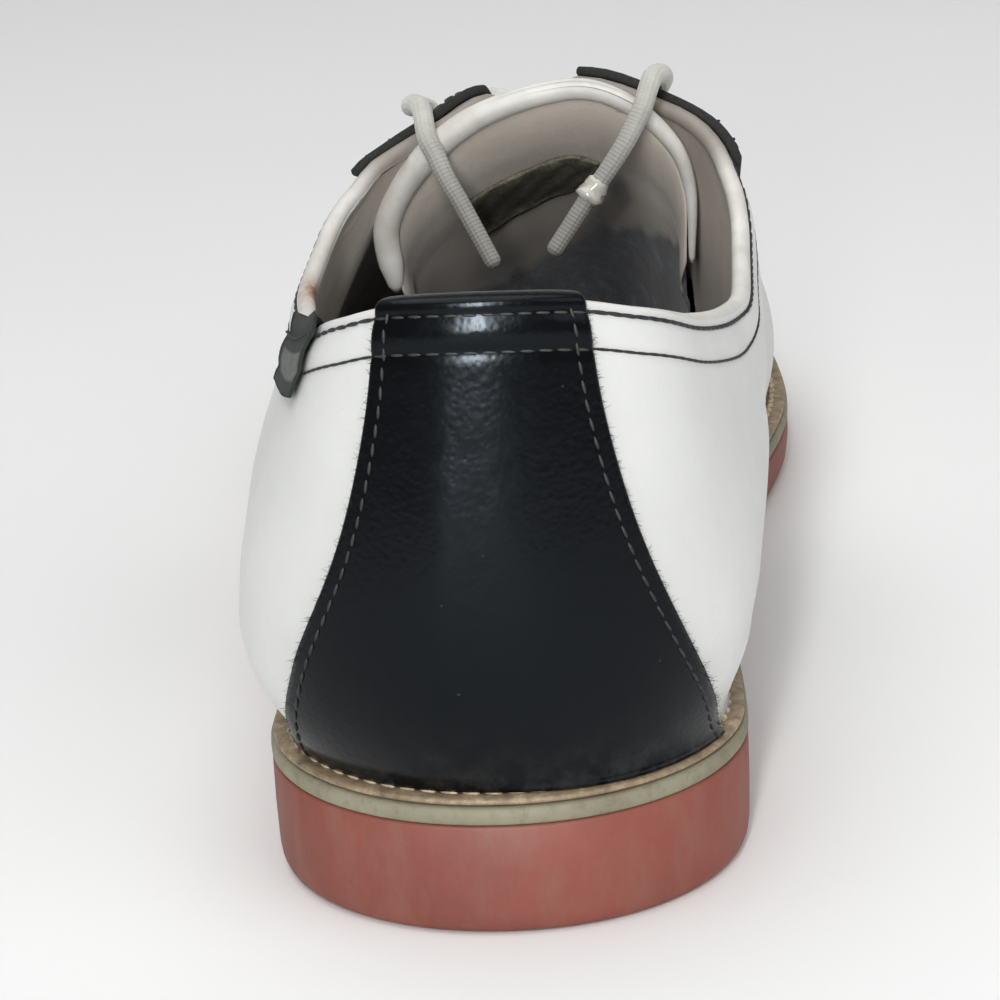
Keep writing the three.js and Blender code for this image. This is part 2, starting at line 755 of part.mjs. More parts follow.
// A lace end: out of the top eyelet, over the collar and down inside.
function laceEnd(side, points) {
  const w = side * eyelets.at(-1);
  const start = [0, 1.4, 2.8].map((out) => inEyelet(w, 0, MOUTH + GAP + out));
  return fromManifold(solidOf(tube([...start, ...points], LACE, 24)));
}
const endLateral = [
  [-15.4, 74.2, 90.8],
  [-14.4, 70.0, 92.0],
  [-13.2, 66.2, 92.1],
  [-12.6, 62.4, 91.2],
  [-11.9, 59.0, 88.9],
  [-10.7, 57.6, 86.7],
  [-9.3, 56.2, 83.7],
  [-7.2, 54.8, 80.1],
  [-4.2, 52.7, 74.6],
  [-2.1, 51.0, 70.8],
];
const endMedial = [
  [22.6, 75.6, 91.8],
  [23.6, 71.4, 94.2],
  [23.2, 67.2, 95.8],
  [22.2, 63.0, 96.2],
  [21.5, 60.0, 95.1],
  [20.6, 57.6, 92.8],
  [19.3, 56.4, 90.4],
  [18.0, 55.2, 88.2],
  [15.1, 53.8, 84.2],
  [12.4, 53.0, 80.8],
  [8.8, 52.0, 75.8],
  [6.3, 51.0, 72.4],
];

const parts = {
  outsole: [makeOutsole(), 0x8f5044],
  midsole: [makeMidsole(), 0x8d8570],
  welt: [makeWelt(), 0x6b5238],
  upper: [makeUpper(), 0xe9e9e6],
  saddle: [makeSaddle(), 0x15181c],
  counter: [makeCounter(), 0x15181c],
  tongue: [makeTongue(), 0xc9c3b6],
  insole: [makeInsole(), 0x2a2d35],
  side_tab: [makeTab(), 0x2f4a38],
  lace_crossings: [makeCrossings(), 0xe4e0d6],
  lace_end_lateral: [laceEnd(-1, endLateral), 0xe4e0d6],
  lace_end_medial: [laceEnd(1, endMedial), 0xe4e0d6],
};

const shoe = new THREE.Group();
shoe.name = "saddle_shoe_left";
for (const [name, [geometry, color]] of Object.entries(parts)) {
  const mesh = new THREE.Mesh(geometry, new THREE.MeshStandardMaterial({ color, roughness: 0.6 }));
  mesh.name = name;
  shoe.add(mesh);
}

export default shoe;
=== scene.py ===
# %% [markdown]
# # A left saddle shoe, seen from behind
# A saddle shoe is a white leather shoe with a dark leather saddle over its instep and, here, a dark
# heel counter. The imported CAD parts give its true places; this lesson dresses each of them.

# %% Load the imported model
import json
import math

import bpy
import numpy as np
from mathutils import Matrix, Vector

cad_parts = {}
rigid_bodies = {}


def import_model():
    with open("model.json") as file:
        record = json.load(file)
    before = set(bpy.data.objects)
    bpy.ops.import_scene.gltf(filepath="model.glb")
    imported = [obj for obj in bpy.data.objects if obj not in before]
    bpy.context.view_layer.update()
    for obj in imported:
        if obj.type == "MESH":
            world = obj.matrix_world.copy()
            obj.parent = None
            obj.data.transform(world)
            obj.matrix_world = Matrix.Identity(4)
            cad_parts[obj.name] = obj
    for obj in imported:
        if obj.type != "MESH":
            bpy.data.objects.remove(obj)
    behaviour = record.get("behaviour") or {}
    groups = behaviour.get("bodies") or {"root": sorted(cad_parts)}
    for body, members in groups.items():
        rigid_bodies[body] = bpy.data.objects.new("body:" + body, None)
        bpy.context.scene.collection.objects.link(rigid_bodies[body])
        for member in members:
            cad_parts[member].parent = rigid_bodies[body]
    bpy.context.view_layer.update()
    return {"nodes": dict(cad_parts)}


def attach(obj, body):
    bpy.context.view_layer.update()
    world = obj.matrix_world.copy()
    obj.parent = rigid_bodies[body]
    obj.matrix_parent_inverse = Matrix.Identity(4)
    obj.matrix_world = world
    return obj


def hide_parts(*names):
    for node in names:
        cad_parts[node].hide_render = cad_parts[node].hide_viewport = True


for leftover in list(bpy.data.objects):
    bpy.data.objects.remove(leftover)
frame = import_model()
scene = bpy.context.scene
MM = 0.001
print("nodes:", ", ".join(sorted(frame["nodes"])))

# %% [markdown]
# ## Sizes
# A shoe is drawn from its last, the wooden foot that it is made on. A maker gives a last by a few
# sizes and a few tables, each a share of a size, so that is how it is kept here: the same names and
# numbers as the CAD source, in millimetres. The alternative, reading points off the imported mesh,
# would give only its coarse facets.

# %% Named sizes
LENGTH, HEEL_WIDTH, BALL_WIDTH = 280.0, 67.0, 92.0
BACK_HEIGHT, INSTEP_HEIGHT, HEEL_HEIGHT = 88.7, 93.0, 19.8
WALL, OVERLAY, WELT, MIDSOLE, INSOLE = 2.2, 1.2, 0.9, 2.4, 3.0
TONGUE, RIBBON, GAP, STAND_OFF = 2.6, 0.8, 0.3, 0.45
BACK, HEEL_CAP, HEEL_LEAN = 0.12 * LENGTH, 0.1215 * LENGTH, 6.0
TOE_CAP, TOE_SHIFT = 0.2643 * LENGTH, 0.004 * LENGTH
LEDGE, WELT_WIDTH, INSOLE_INSET = 5.0, 7.8, 8.7
THROAT, THROAT_START, THROAT_END, CROWN = 14.0, 0.385 * LENGTH, 0.6 * LENGTH, 22.0
EYELETS, EYELET_FIRST, EYELET_LAST = 5, 0.41 * LENGTH, 0.558 * LENGTH
EYELET_IN, EYELET_WIDTH, LACE = 8.5, 5.5, 3.0
TONGUE_TOP, TONGUE_BOW, TONGUE_BLEND = 0.335 * LENGTH, 2.5, 8.0
TONGUE_FRONT, TONGUE_SLOPE = 0.628 * LENGTH, 0.5
TAB_FRONT = 0.172 * LENGTH
print("last:", LENGTH, "mm long,", HEEL_WIDTH, "mm at the heel,", BALL_WIDTH, "mm at the ball")

# %% [markdown]
# ## The last's tables
# Each row is one place along the shoe, as a share of its length, and what the last does there: how
# wide it is, how high, how far its sides bulge. A maker draws these as curves on paper. Typed rows
# are the plainest way to keep them, and a smooth curve is drawn through each column below.

# %% The last's tables
OUTLINE = np.array([  # along, ball, lateral, medial
    [0.0, 0.0, 1.0, 1.0], [0.12, 0.0, 1.01, 1.0], [0.22, 0.0, 1.03, 0.96], [0.32, 0.2, 1.06, 0.86],
    [0.42, 0.5, 1.06, 0.74], [0.52, 0.8, 1.04, 0.71], [0.62, 1.0, 1.07, 0.8], [0.72, 1.0, 1.1, 0.9],
    [0.8, 1.0, 1.06, 0.91], [1.0, 1.0, 0.96, 0.9]])
SHANK = np.array([  # along, height of the welt's top
    [0.0, 1.0], [0.12, 1.0], [0.25, 0.96], [0.4, 0.81], [0.55, 0.65], [0.68, 0.59], [0.8, 0.63],
    [0.9, 0.78], [1.0, 1.02]])
TREAD = np.array([  # along, lift of the underside
    [0.0, 0.0], [0.2572, 0.0], [0.275, 0.3], [0.4, 0.27], [0.5, 0.12], [0.6071, 0.0], [0.82, 0.0],
    [0.9, 0.13], [1.0, 0.42]])
COLLAR = np.array([  # along, lateral, medial half widths
    [0.0, 0.42, 0.43], [0.05, 0.38, 0.44], [0.1, 0.36, 0.43], [0.156, 0.4, 0.484],
    [0.206, 0.44, 0.527], [0.28, 0.444, 0.52], [0.31, 0.415, 0.5], [0.33, 0.362, 0.466],
    [0.3464, 0.284, 0.412], [0.361, 0.208, 0.315], [0.385, 0.1045, 0.1045]])
BODY = np.array([  # along, back, instep, cant, bulge, rise, reach, drop
    [0.0, 1.0, 0.0, 0.0, 0.069, 0.149, 0.043, 0.32],
    [0.027, 0.982, 0.0, 0.0, 0.072, 0.149, 0.043, 0.32],
    [0.05, 0.948, 0.0, 0.0, 0.08, 0.149, 0.048, 0.3],
    [0.1, 0.884, 0.0, 0.0, 0.098, 0.149, 0.06, 0.27],
    [0.156, 0.84, 0.0, 0.0, 0.102, 0.149, 0.055, 0.24],
    [0.206, 0.826, 0.0, 0.0, 0.102, 0.149, 0.045, 0.225],
    [0.28, 0.4, 0.446, 0.0, 0.104, 0.149, 0.04, 0.21],
    [0.31, 0.0, 0.878, 0.002, 0.104, 0.154, 0.05, 0.18],
    [0.33, 0.0, 0.911, 0.004, 0.104, 0.16, 0.062, 0.149],
    [0.361, 0.0, 0.973, 0.018, 0.104, 0.165, 0.12, 0.1],
    [0.385, 0.0, 1.003, 0.024, 0.104, 0.17, 0.2, 0.068],
    [0.45, 0.0, 0.902, 0.021, 0.104, 0.17, 0.212, 0.062],
    [0.52, 0.0, 0.793, 0.013, 0.096, 0.16, 0.218, 0.058],
    [0.6, 0.0, 0.675, 0.005, 0.085, 0.149, 0.213, 0.062],
    [0.7, 0.0, 0.576, 0.0, 0.074, 0.149, 0.234, 0.05],
    [0.8, 0.0, 0.522, 0.0, 0.064, 0.149, 0.277, 0.02],
    [1.0, 0.0, 0.467, 0.0, 0.043, 0.149, 0.277, 0.0]])
SWELL = np.array([  # along, lateral, medial
    [0.0, 1.0, 1.0], [0.03, 1.15, 0.98], [0.08, 1.36, 0.95], [0.25, 1.36, 0.95], [0.36, 1.05, 1.0],
    [0.5, 1.0, 1.0]])
print("tables:", len(OUTLINE), "outline rows,", len(BODY), "body rows")

# %% [markdown]
# ## The overlays' tables
# The counter, the saddle and the tongue are cut to patterns. Each row says where a pattern's edges
# lie at one height or place, in shares of the shoe's sizes or in steps round the last. The patterns
# could be drawn as flat curves and projected, but rows on the last stay on it when a size changes.

# %% The overlays' tables
COUNTER = np.array([  # up, lateral, medial steps
    [0.0, 0.69, 0.76], [0.1, 0.645, 0.7], [0.36, 0.515, 0.52], [0.6, 0.385, 0.39],
    [0.82, 0.315, 0.32], [1.0, 0.292, 0.3]])
SADDLE = np.array([  # up, rear, front
    [0.0, 0.335, 0.59], [0.3, 0.362, 0.57], [0.6, 0.362, 0.578], [0.85, 0.345, 0.622],
    [1.0, 0.3286, 0.65]])
TONGUE_SHAPE = np.array([  # along, depth, sink, span
    [0.335, 0.07, 0.03, 0.44], [0.385, 0.07, 0.03, 0.4], [0.45, 0.07, 0.02, 0.25],
    [0.57, 0.069, 0.0, 0.19], [0.607, 0.03, 0.0, 0.17], [0.63, 0.03, 0.0, 0.16]])
TONGUE_END = np.array([  # across, x, z
    [-1.0, -0.217, 0.688], [-0.82, -0.226, 0.806], [-0.6, -0.165, 0.913], [-0.34, -0.055, 0.998],
    [0.0, 0.103, 1.04], [0.27, 0.201, 1.013], [0.56, 0.283, 0.935], [0.8, 0.313, 0.844],
    [1.0, 0.311, 0.72]])
print("overlays:", len(COUNTER), "counter rows,", len(SADDLE), "saddle rows")

# %% [markdown]
# ## The camera
# The shoe is photographed from behind, a little from above, with a long lens held slightly askew.
# The camera looks from the heel at azimuth 4 and elevation 18 degrees, 562 mm away, rolled 3 degrees.
# A real camera could be moved until the picture fits; here its numbers were solved from the welt's
# and collar's places in the photograph, so the perspective agrees as well as the angle.

# %% Camera
def stand_camera(azimuth, elevation, distance, roll, aim, lens):
    """Place the camera from two angles, a distance in mm and a roll; return its object."""
    a, e, r = (math.radians(value) for value in (azimuth, elevation, roll))
    back = Vector((math.sin(a) * math.cos(e), -math.cos(a) * math.cos(e), math.sin(e)))
    level = (-back).cross(Vector((0, 0, 1))).normalized()
    upright = level.cross(-back).normalized()
    right = level * math.cos(r) + upright * math.sin(r)
    up = upright * math.cos(r) - level * math.sin(r)
    data = bpy.data.cameras.new("camera")
    data.lens, data.sensor_width, data.clip_start, data.clip_end = lens, 36.0, 0.05, 20.0
    camera = bpy.data.objects.new("camera", data)
    spot = (Vector(aim) + back * distance) * MM
    camera.matrix_world = Matrix.Translation(spot) @ Matrix((right, up, back)).transposed().to_4x4()
    scene.collection.objects.link(camera)
    return camera


scene.view_settings.view_transform = "Standard"
scene.camera = stand_camera(4.0, 18.05, 562.0, -3.1, (-2.6, 40.0, 37.7), 135.26)
print("camera at", [round(value, 3) for value in scene.camera.location])

# %% [markdown]
# ## The last as functions
# Every leather piece of a shoe is cut to lie on the last, so each piece here is drawn from one
# function of two steps: w goes round the shoe from the heel, v goes up from the welt to the collar
# and on over the ridge. A sculpted mesh could look the same, but its pieces wouldn't share edges.

# %% Curves through the tables
def curve(rows, column):
    """A smooth curve through one column of a table."""
    xs, ys = rows[:, 0], rows[:, column]
    last = len(xs) - 1
    before = np.maximum(np.arange(last + 1) - 1, 0)
    after = np.minimum(np.arange(last + 1) + 1, last)
    slopes = (ys[after] - ys[before]) / (xs[after] - xs[before])

    def at(value):
        x = np.clip(value, xs[0], xs[last])
        i = np.clip(np.searchsorted(xs, x, side="right") - 1, 0, last - 1)
        h = xs[i + 1] - xs[i]
        s = (x - xs[i]) / h
        rise = s * (1 - s) ** 2 * h * slopes[i] + s * s * (s - 1) * h * slopes[i + 1]
        return (1 + 2 * s) * (1 - s) ** 2 * ys[i] + s * s * (3 - 2 * s) * ys[i + 1] + rise

    return at


def soft(value):
    k = np.clip(value, 0, 1)
    return k * k * (3 - 2 * k)


def mix(a, b, share):
    return a + (b - a) * share


def unit(a):
    return a / np.maximum(np.linalg.norm(a, axis=-1, keepdims=True), 1e-12)


ball_share = curve(OUTLINE, 1)
outline_share = (curve(OUTLINE, 2), curve(OUTLINE, 3))
shank = curve(SHANK, 1)
collar_share = (curve(COLLAR, 1), curve(COLLAR, 2))
swell = (curve(SWELL, 1), curve(SWELL, 2))
back_share, instep_share, cant, bulge, rise, reach, drop = (curve(BODY, i) for i in range(1, 8))
print("collar half width at the back:", round(float(HEEL_WIDTH * collar_share[0](0.1)), 1), "mm")


# %% [markdown]
# ## The sole's edge
# Seen from above, a sole is a rounded heel, two long sides and a rounded toe. A Bezier curve could
# be drawn over a picture of one. Here its width comes from the tables, and the round ends are
# quarters of a slightly squared circle, so the same edge can be moved in for the welt and insole.

# %% The sole's edge
def by_side(w, pair, t):
    """Lateral or medial value; the two meet softly within the first step behind the heel."""
    return mix(pair[1](t), pair[0](t), np.where(w < 0, soft(-w / 0.125), 0.0))


def wrap(w):
    return np.where(w > 3, w - 6, np.where(w < -3, w + 6, w))


def step_at(d):
    return 1 + (d - HEEL_CAP) / (LENGTH - HEEL_CAP - TOE_CAP)


def along_at(u):
    return HEEL_CAP + (LENGTH - HEEL_CAP - TOE_CAP) * (u - 1)


def shift(d):
    return TOE_SHIFT * soft((d - 0.6 * LENGTH) / (0.4 * LENGTH))


def ridge(d):
    return 0.0143 * LENGTH * soft((d - 0.2 * LENGTH) / (0.25 * LENGTH)) + 0.6 * shift(d)


def welt_top(d):
    return HEEL_HEIGHT * shank(d / LENGTH)


def floor_side(d):
    return HEEL_HEIGHT * np.interp(d / LENGTH, TREAD[:, 0], TREAD[:, 1])


def half_width(d, w):
    t = d / LENGTH
    return mix(HEEL_WIDTH, BALL_WIDTH, ball_share(t)) / 2 * by_side(w, outline_share, t)


def outline(step, inset):
    """The sole's edge, moved in by an inset: x and y for each step round the shoe."""
    w = wrap(np.asarray(step, float))
    u, side = np.abs(w), np.where(w < 0, -1.0, 1.0)
    a = np.clip(u, 0, 1) * math.pi / 2
    b = (np.clip(u, 2, 3) - 2) * math.pi / 2
    cos_a, sin_a = np.maximum(np.cos(a), 0) ** 0.976, np.maximum(np.sin(a), 0) ** 0.976
    cos_b, sin_b = np.maximum(np.cos(b), 0) ** 0.889, np.maximum(np.sin(b), 0) ** 0.889
    d_heel = inset + (HEEL_CAP - inset) * (1 - cos_a)
    d_toe = LENGTH - inset - (TOE_CAP - inset) * (1 - sin_b)
    d = np.where(u < 1, d_heel, np.where(u > 2, d_toe, along_at(u)))
    half = half_width(np.where(u < 1, HEEL_CAP, d), w) - inset
    half = half * np.where(u < 1, sin_a, np.where(u > 2, cos_b, 1.0))
    return np.stack([shift(d) + side * half, d - BACK], -1)


def outward(w):
    a, b = outline(w - 0.004, LEDGE), outline(w + 0.004, LEDGE)
    flat = np.stack([b[..., 1] - a[..., 1], a[..., 0] - b[..., 0], np.zeros(a.shape[:-1])], -1)
    return unit(flat)


print("toe at y =", round(float(outline(3.0, 0.0)[1]), 1), "mm")


# %% [markdown]
# ## Sections of the last
# Cut across, each side of the last is one curve: it starts at the welt, bulges, and leans in to the
# topline. A cubic curve with two control points holds that shape with four points, and the tables
# say where they lie.

# %% Sections of the last
def section(step):
    """One side's section: its foot, two control points, its top and the top's half width."""
    w = wrap(np.asarray(step, float))
    u, side = np.abs(w), np.where(w < 0, -1.0, 1.0)
    n = outward(w)
    xy = outline(w, LEDGE)
    foot = np.concatenate([xy, (welt_top(xy[..., 1:] + BACK) + GAP)], -1)
    a = np.clip(u, 0, 1) * math.pi / 2
    b = (np.clip(u, 2, 3) - 2) * math.pi / 2
    d_heel = HEEL_LEAN + (HEEL_CAP - HEEL_LEAN) * (1 - np.maximum(np.cos(a), 0) ** 0.976)
    start = LENGTH - TOE_CAP
    d_toe = start + (0.86 * LENGTH - start) * np.sin(b)
    d = np.where(u < 1, d_heel, np.where(u > 2, d_toe, xy[..., 1] + BACK))
    t = d / LENGTH
    half = HEEL_WIDTH * by_side(w, collar_share, t)
    half = np.where(u < 1, half * np.maximum(np.sin(a), 0) ** 0.976, half)
    half = np.where((u >= 1) & (d >= THROAT_START), THROAT / 2, half)
    half = np.where(u > 2, THROAT / 2 * np.maximum(np.cos(b), 0), half)
    height = BACK_HEIGHT * back_share(t) + INSTEP_HEIGHT * instep_share(t)
    x = np.where(u < 1, 0, ridge(d)) + side * half
    top = np.stack([x, d - BACK, height + side * BALL_WIDTH * cant(t) / 2], -1)
    full = BALL_WIDTH * by_side(w, swell, t)
    low = foot + n * (full * bulge(t) * 1.333)[..., None]
    low[..., 2] += BALL_WIDTH * rise(t)
    high = top + n * (full * reach(t))[..., None]
    high[..., 2] -= BALL_WIDTH * drop(t)
    return foot, low, high, top, half


print("topline above the heel:", round(float(section(0.0)[3][2]), 1), "mm")


# %% [markdown]
# ## Points of the last
# form() turns the two steps into a point, facing() gives the way out of the leather there, and
# pushed() moves the point that way. A piece that lies on another is then the same surface a little
# further out, which is simpler and cleaner than a Shrinkwrap modifier.

# %% Points of the last
def form(w, v):
    """v runs 0 to 1 up the side and 1 to 2 from the edge to the ridge."""
    w, v = np.broadcast_arrays(np.asarray(w, float), np.asarray(v, float))
    foot, low, high, top, half = section(w)
    s = np.clip(v, 0, 1)[..., None]
    k = 1 - s
    side = k ** 3 * foot + 3 * k * k * s * low + 3 * k * s * s * high + s ** 3 * top
    share = (np.clip(v, 1, 2) - 1) / 2
    over = mix(top, section(-w)[3], share[..., None])
    over[..., 2] += 4 * share * (1 - share) * half ** 2 / (2 * CROWN)
    return np.where((v <= 1)[..., None], side, over)


def facing(w, v):
    """The outward direction, level at the foot."""
    w, v = np.broadcast_arrays(np.asarray(w, float), np.asarray(v, float))
    e = 0.004
    at = np.where((np.abs(w) > 2.99) & (v > 0.99), 0.99, v)
    across = form(wrap(w + e), at) - form(wrap(w - e), at)
    up = form(w, np.minimum(at + e, 2)) - form(w, np.maximum(at - e, 0))
    crest = form(-w, np.full_like(at, 2 - e)) - form(w, np.full_like(at, 2 - e))
    n = unit(np.cross(across, np.where((at >= 2)[..., None], crest, up)))
    k = soft(v / 0.12)[..., None]
    return np.where((v >= 0.12)[..., None], n, unit(mix(outward(w), n, k)))


def pushed(w, v, out):
    return form(w, v) + facing(w, v) * np.asarray(out)[..., None]


def up_at(w, distance):
    """The step v up the side that lies a distance in from the edge."""
    w, distance = np.broadcast_arrays(np.asarray(w, float), np.asarray(distance, float))
    edge = form(w, np.ones(w.shape))
    low, high = np.full(w.shape, 0.3), np.ones(w.shape)
    for _ in range(22):
        middle = (low + high) / 2
        far = np.linalg.norm(form(w, middle) - edge, axis=-1) > distance
        low, high = np.where(far, middle, low), np.where(far, high, middle)
    return low


print("heel's top edge at", np.round(form(0.0, 1.0), 1), "mm")


# %% [markdown]
# ## Colours and nodes
# A material is a tree of nodes. One small function adds a node with its settings and links. The
# others are steps that every finish here takes: a pattern with its grain in millimetres, shades cut
# from a pattern, one colour laid over another, and the relief. Colours are typed as the sRGB hex
# values that a colour picker shows, and one function turns them to linear.

# %% Colours and nodes
def colour(hexa):
    """An sRGB hex value as linear red, green, blue and alpha."""
    parts = [int(hexa[i:i + 2], 16) / 255 for i in (1, 3, 5)]
    return [c / 12.92 if c <= 0.04045 else ((c + 0.055) / 1.055) ** 2.4 for c in parts] + [1.0]


def set_input(tree, socket, value):
    """Give a socket another node's output, a hex colour or a plain value."""
    if isinstance(value, bpy.types.NodeSocket):
        tree.links.new(value, socket)
    else:
        socket.default_value = colour(value) if isinstance(value, str) else value


def add_node(tree, kind, settings=None, *values, **inputs):
    """Add a node; values fill its sockets in order, inputs by name or, as i6, by number."""
    made = tree.nodes.new(kind)
    for name, value in (settings or {}).items():
        setattr(made, name, value)
    for socket, value in zip(made.inputs, values):
        set_input(tree, socket, value)
    for name, value in inputs.items():
        key = int(name[1:]) if name[0] == "i" and name[1:].isdigit() else name.replace("_", " ")
        set_input(tree, made.inputs[key], value)
    return made


def start_material(name):
    """A new material with its shader; return the material, its tree and its shader node."""
    material = bpy.data.materials.new(name)
    material.use_nodes = True
    tree = material.node_tree
    return material, tree, tree.nodes["Principled BSDF"]


print("white leather's grey:", [round(value, 3) for value in colour("#E4E5E2")[:3]])

# %% [markdown]
# ## Steps of a finish
# Real surfaces are layered: a base tone, dirt where hands or the ground reach, then wear. The steps
# below work in that order. Dirt is painted on the mesh as numbers, so that it lies where the shoe
# gets dirty, and so are painted shade and painted light inside the shoe and on the lace; a pattern
# breaks some of them up.

# %% Steps of a finish
def grain(tree, size_mm, detail=3.0, rough=0.5, stretch=(1, 1, 1), feature=None):
    """Clouds on the object's own coordinates, about size_mm across; with a feature, cells."""
    place = add_node(tree, "ShaderNodeTexCoord").outputs["Object"]
    mapped = add_node(tree, "ShaderNodeMapping", Vector=place, Scale=stretch).outputs[0]
    scale = 1 / (size_mm * MM)
    if feature:
        return add_node(tree, "ShaderNodeTexVoronoi", {"feature": feature}, Vector=mapped,
                        Scale=scale).outputs["Distance"]
    return add_node(tree, "ShaderNodeTexNoise", Vector=mapped, Scale=scale, Detail=detail,
                    Roughness=rough).outputs["Fac"]


def shades(tree, pattern, stops):
    """Cut a pattern into shades at (position, hex or grey) stops."""
    made = add_node(tree, "ShaderNodeValToRGB", None, pattern)
    elements = made.color_ramp.elements
    while len(elements) < len(stops):
        elements.new(0.5)
    for element, (position, value) in zip(elements, stops):
        element.position = position
        element.color = colour(value) if isinstance(value, str) else [value] * 3 + [1.0]
    return made.outputs[0]


def over(tree, tone, top, *shares, most=None):
    """Lay a colour over a tone. The shares multiply; a word is a mark painted on the mesh."""
    whole = None
    for share in shares:
        if isinstance(share, str):
            share = add_node(tree, "ShaderNodeAttribute", {"attribute_name": share}).outputs["Fac"]
        if whole is None:
            whole = share
        else:
            whole = add_node(tree, "ShaderNodeMath", {"operation": "MULTIPLY"}, whole, share).outputs[0]
    if most is not None:
        whole = add_node(tree, "ShaderNodeMath", {"operation": "MINIMUM"}, whole, most).outputs[0]
    return add_node(tree, "ShaderNodeMix", {"data_type": "RGBA"}, whole, i6=tone, i7=top).outputs[2]


def dress(tree, shader, tone, roughness, relief=(), **sockets):
    """Give the shader its colour, roughness, constants by name and (pattern, depth in mm) relief."""
    for name, value in {"Base Color": tone, "Roughness": roughness, **sockets}.items():
        set_input(tree, shader.inputs[name.replace("_", " ")], value)
    for k, (pattern, depth) in enumerate(relief):
        made = add_node(tree, "ShaderNodeBump", Height=pattern, Distance=depth * MM)
        if k > 0:
            tree.links.new(normal, made.inputs["Normal"])
        normal = made.outputs[0]
        tree.links.new(normal, shader.inputs["Normal"])


print("steps of a finish: grain, shades, over, dress")

# %% [markdown]
# ## White leather
# Corrected-grain leather is sanded, sprayed and plated, so its grain is faint and its gloss soft. A
# plain white shader would look like plastic. Slow clouds of two near whites, grime above the welt
# and a few pale scuffs make it leather, and a low coat gives the sprayed finish its soft light.

# %% White leather
def white_leather():
    material, tree, shader = start_material("white_side_leather_sprayed")
    tone = shades(tree, grain(tree, 38, 3), [(0.3, "#DCDDDA"), (0.7, "#E8E9E6")])
    fine = grain(tree, 3.2, 4, 0.6)
    tone = over(tree, tone, "#CFCEC8", fine, 0.12)
    patches = shades(tree, grain(tree, 5, 5, 0.65), [(0.35, 0.1), (0.7, 1.0)])
    tone = over(tree, tone, "#8F8A80", "dirt", patches, most=0.75)
    streaks = shades(tree, grain(tree, 1.6, 6, 0.7, (1, 1, 0.25)), [(0.66, 0.0), (0.72, 1.0)])
    areas = shades(tree, grain(tree, 22, 2), [(0.5, 0.0), (0.66, 0.35)])
    tone = over(tree, tone, "#B7B5AF", streaks, areas)
    dress(tree, shader, tone, shades(tree, fine, [(0.3, 0.4), (0.75, 0.55)]),
          [(grain(tree, 11, 2), 0.35), (grain(tree, 0.7, feature="SMOOTH_F1"), 0.035)],
          Coat_Weight=0.12, Coat_Roughness=0.3, Specular_IOR_Level=0.45)
    return material


WHITE = white_leather()
print("made", WHITE.name)

# %% [markdown]
# ## Black leather
# The same leather dyed blue-black and waxed. It shows its grain as small broken highlights, so the
# roughness varies finely and the relief is low. Dust sits on it as tiny pale specks. Where it is
# cut, the edge is raw: dull, fibrous and a little greenish.

# %% Black leather
def black_leather():
    material, tree, shader = start_material("black_side_leather_waxed")
    tone = shades(tree, grain(tree, 30, 3), [(0.3, "#040506"), (0.7, "#08090C")])
    specks = shades(tree, grain(tree, 4.5, feature="F1"), [(0.0, 1.0), (0.055, 0.0)])
    areas = shades(tree, grain(tree, 9, 2), [(0.52, 0.0), (0.62, 0.6)])
    tone = over(tree, tone, "#6B7078", specks, areas)
    patches = shades(tree, grain(tree, 4, 5, 0.65), [(0.4, 0.0), (0.7, 1.0)])
    tone = over(tree, tone, "#3A3A38", "dirt", patches)
    dress(tree, shader, tone, shades(tree, grain(tree, 2.6, 5, 0.65), [(0.3, 0.19), (0.75, 0.27)]),
          [(grain(tree, 13, 2), 0.15), (grain(tree, 0.8, feature="SMOOTH_F1"), 0.028)],
          Specular_IOR_Level=0.21, Specular_Tint="#DCE9F5")
    return material


def raw_edge():
    material, tree, shader = start_material("black_leather_cut_edge")
    tone = shades(tree, grain(tree, 0.5, 4, 0.7), [(0.35, "#0A0B0A"), (0.72, "#2A2D28")])
    dress(tree, shader, tone, 0.9, [(grain(tree, 0.3, 4, 0.7), 0.25)])
    return material


BLACK, RAW = black_leather(), raw_edge()
print("made", BLACK.name, "and", RAW.name)

# %% [markdown]
# ## Rim and linings
# The white leather is turned over at the collar, where it is soft and grubby. Inside, the lining is
# brushed: its nap scatters light, which a little sheen gives. Painted on the mesh are its painted
# shade deep in the shoe, under the tongue's roll and by its fold, its painted light just below the
# roll, the heel's rub, the navy sock, lifted towards grey as painted light where it lies deep in
# shade, and the rust spot that the tab leaves.

# %% Rim and linings
def rust_stain(tree, tone):
    blotches = shades(tree, grain(tree, 1.4, 3), [(0.3, 0.5), (0.5, 1.0)])
    return over(tree, tone, "#8A4E25", "rust", blotches)


def rim_leather():
    material, tree, shader = start_material("white_leather_turned_edge")
    tone = shades(tree, grain(tree, 9, 4, 0.6), [(0.35, "#CFCBC3"), (0.65, "#E6E4DF")])
    tone = over(tree, tone, "#968E86", "covered")
    dress(tree, shader, rust_stain(tree, tone), 0.55, [(grain(tree, 1.2, 4, 0.6), 0.08)])
    return material


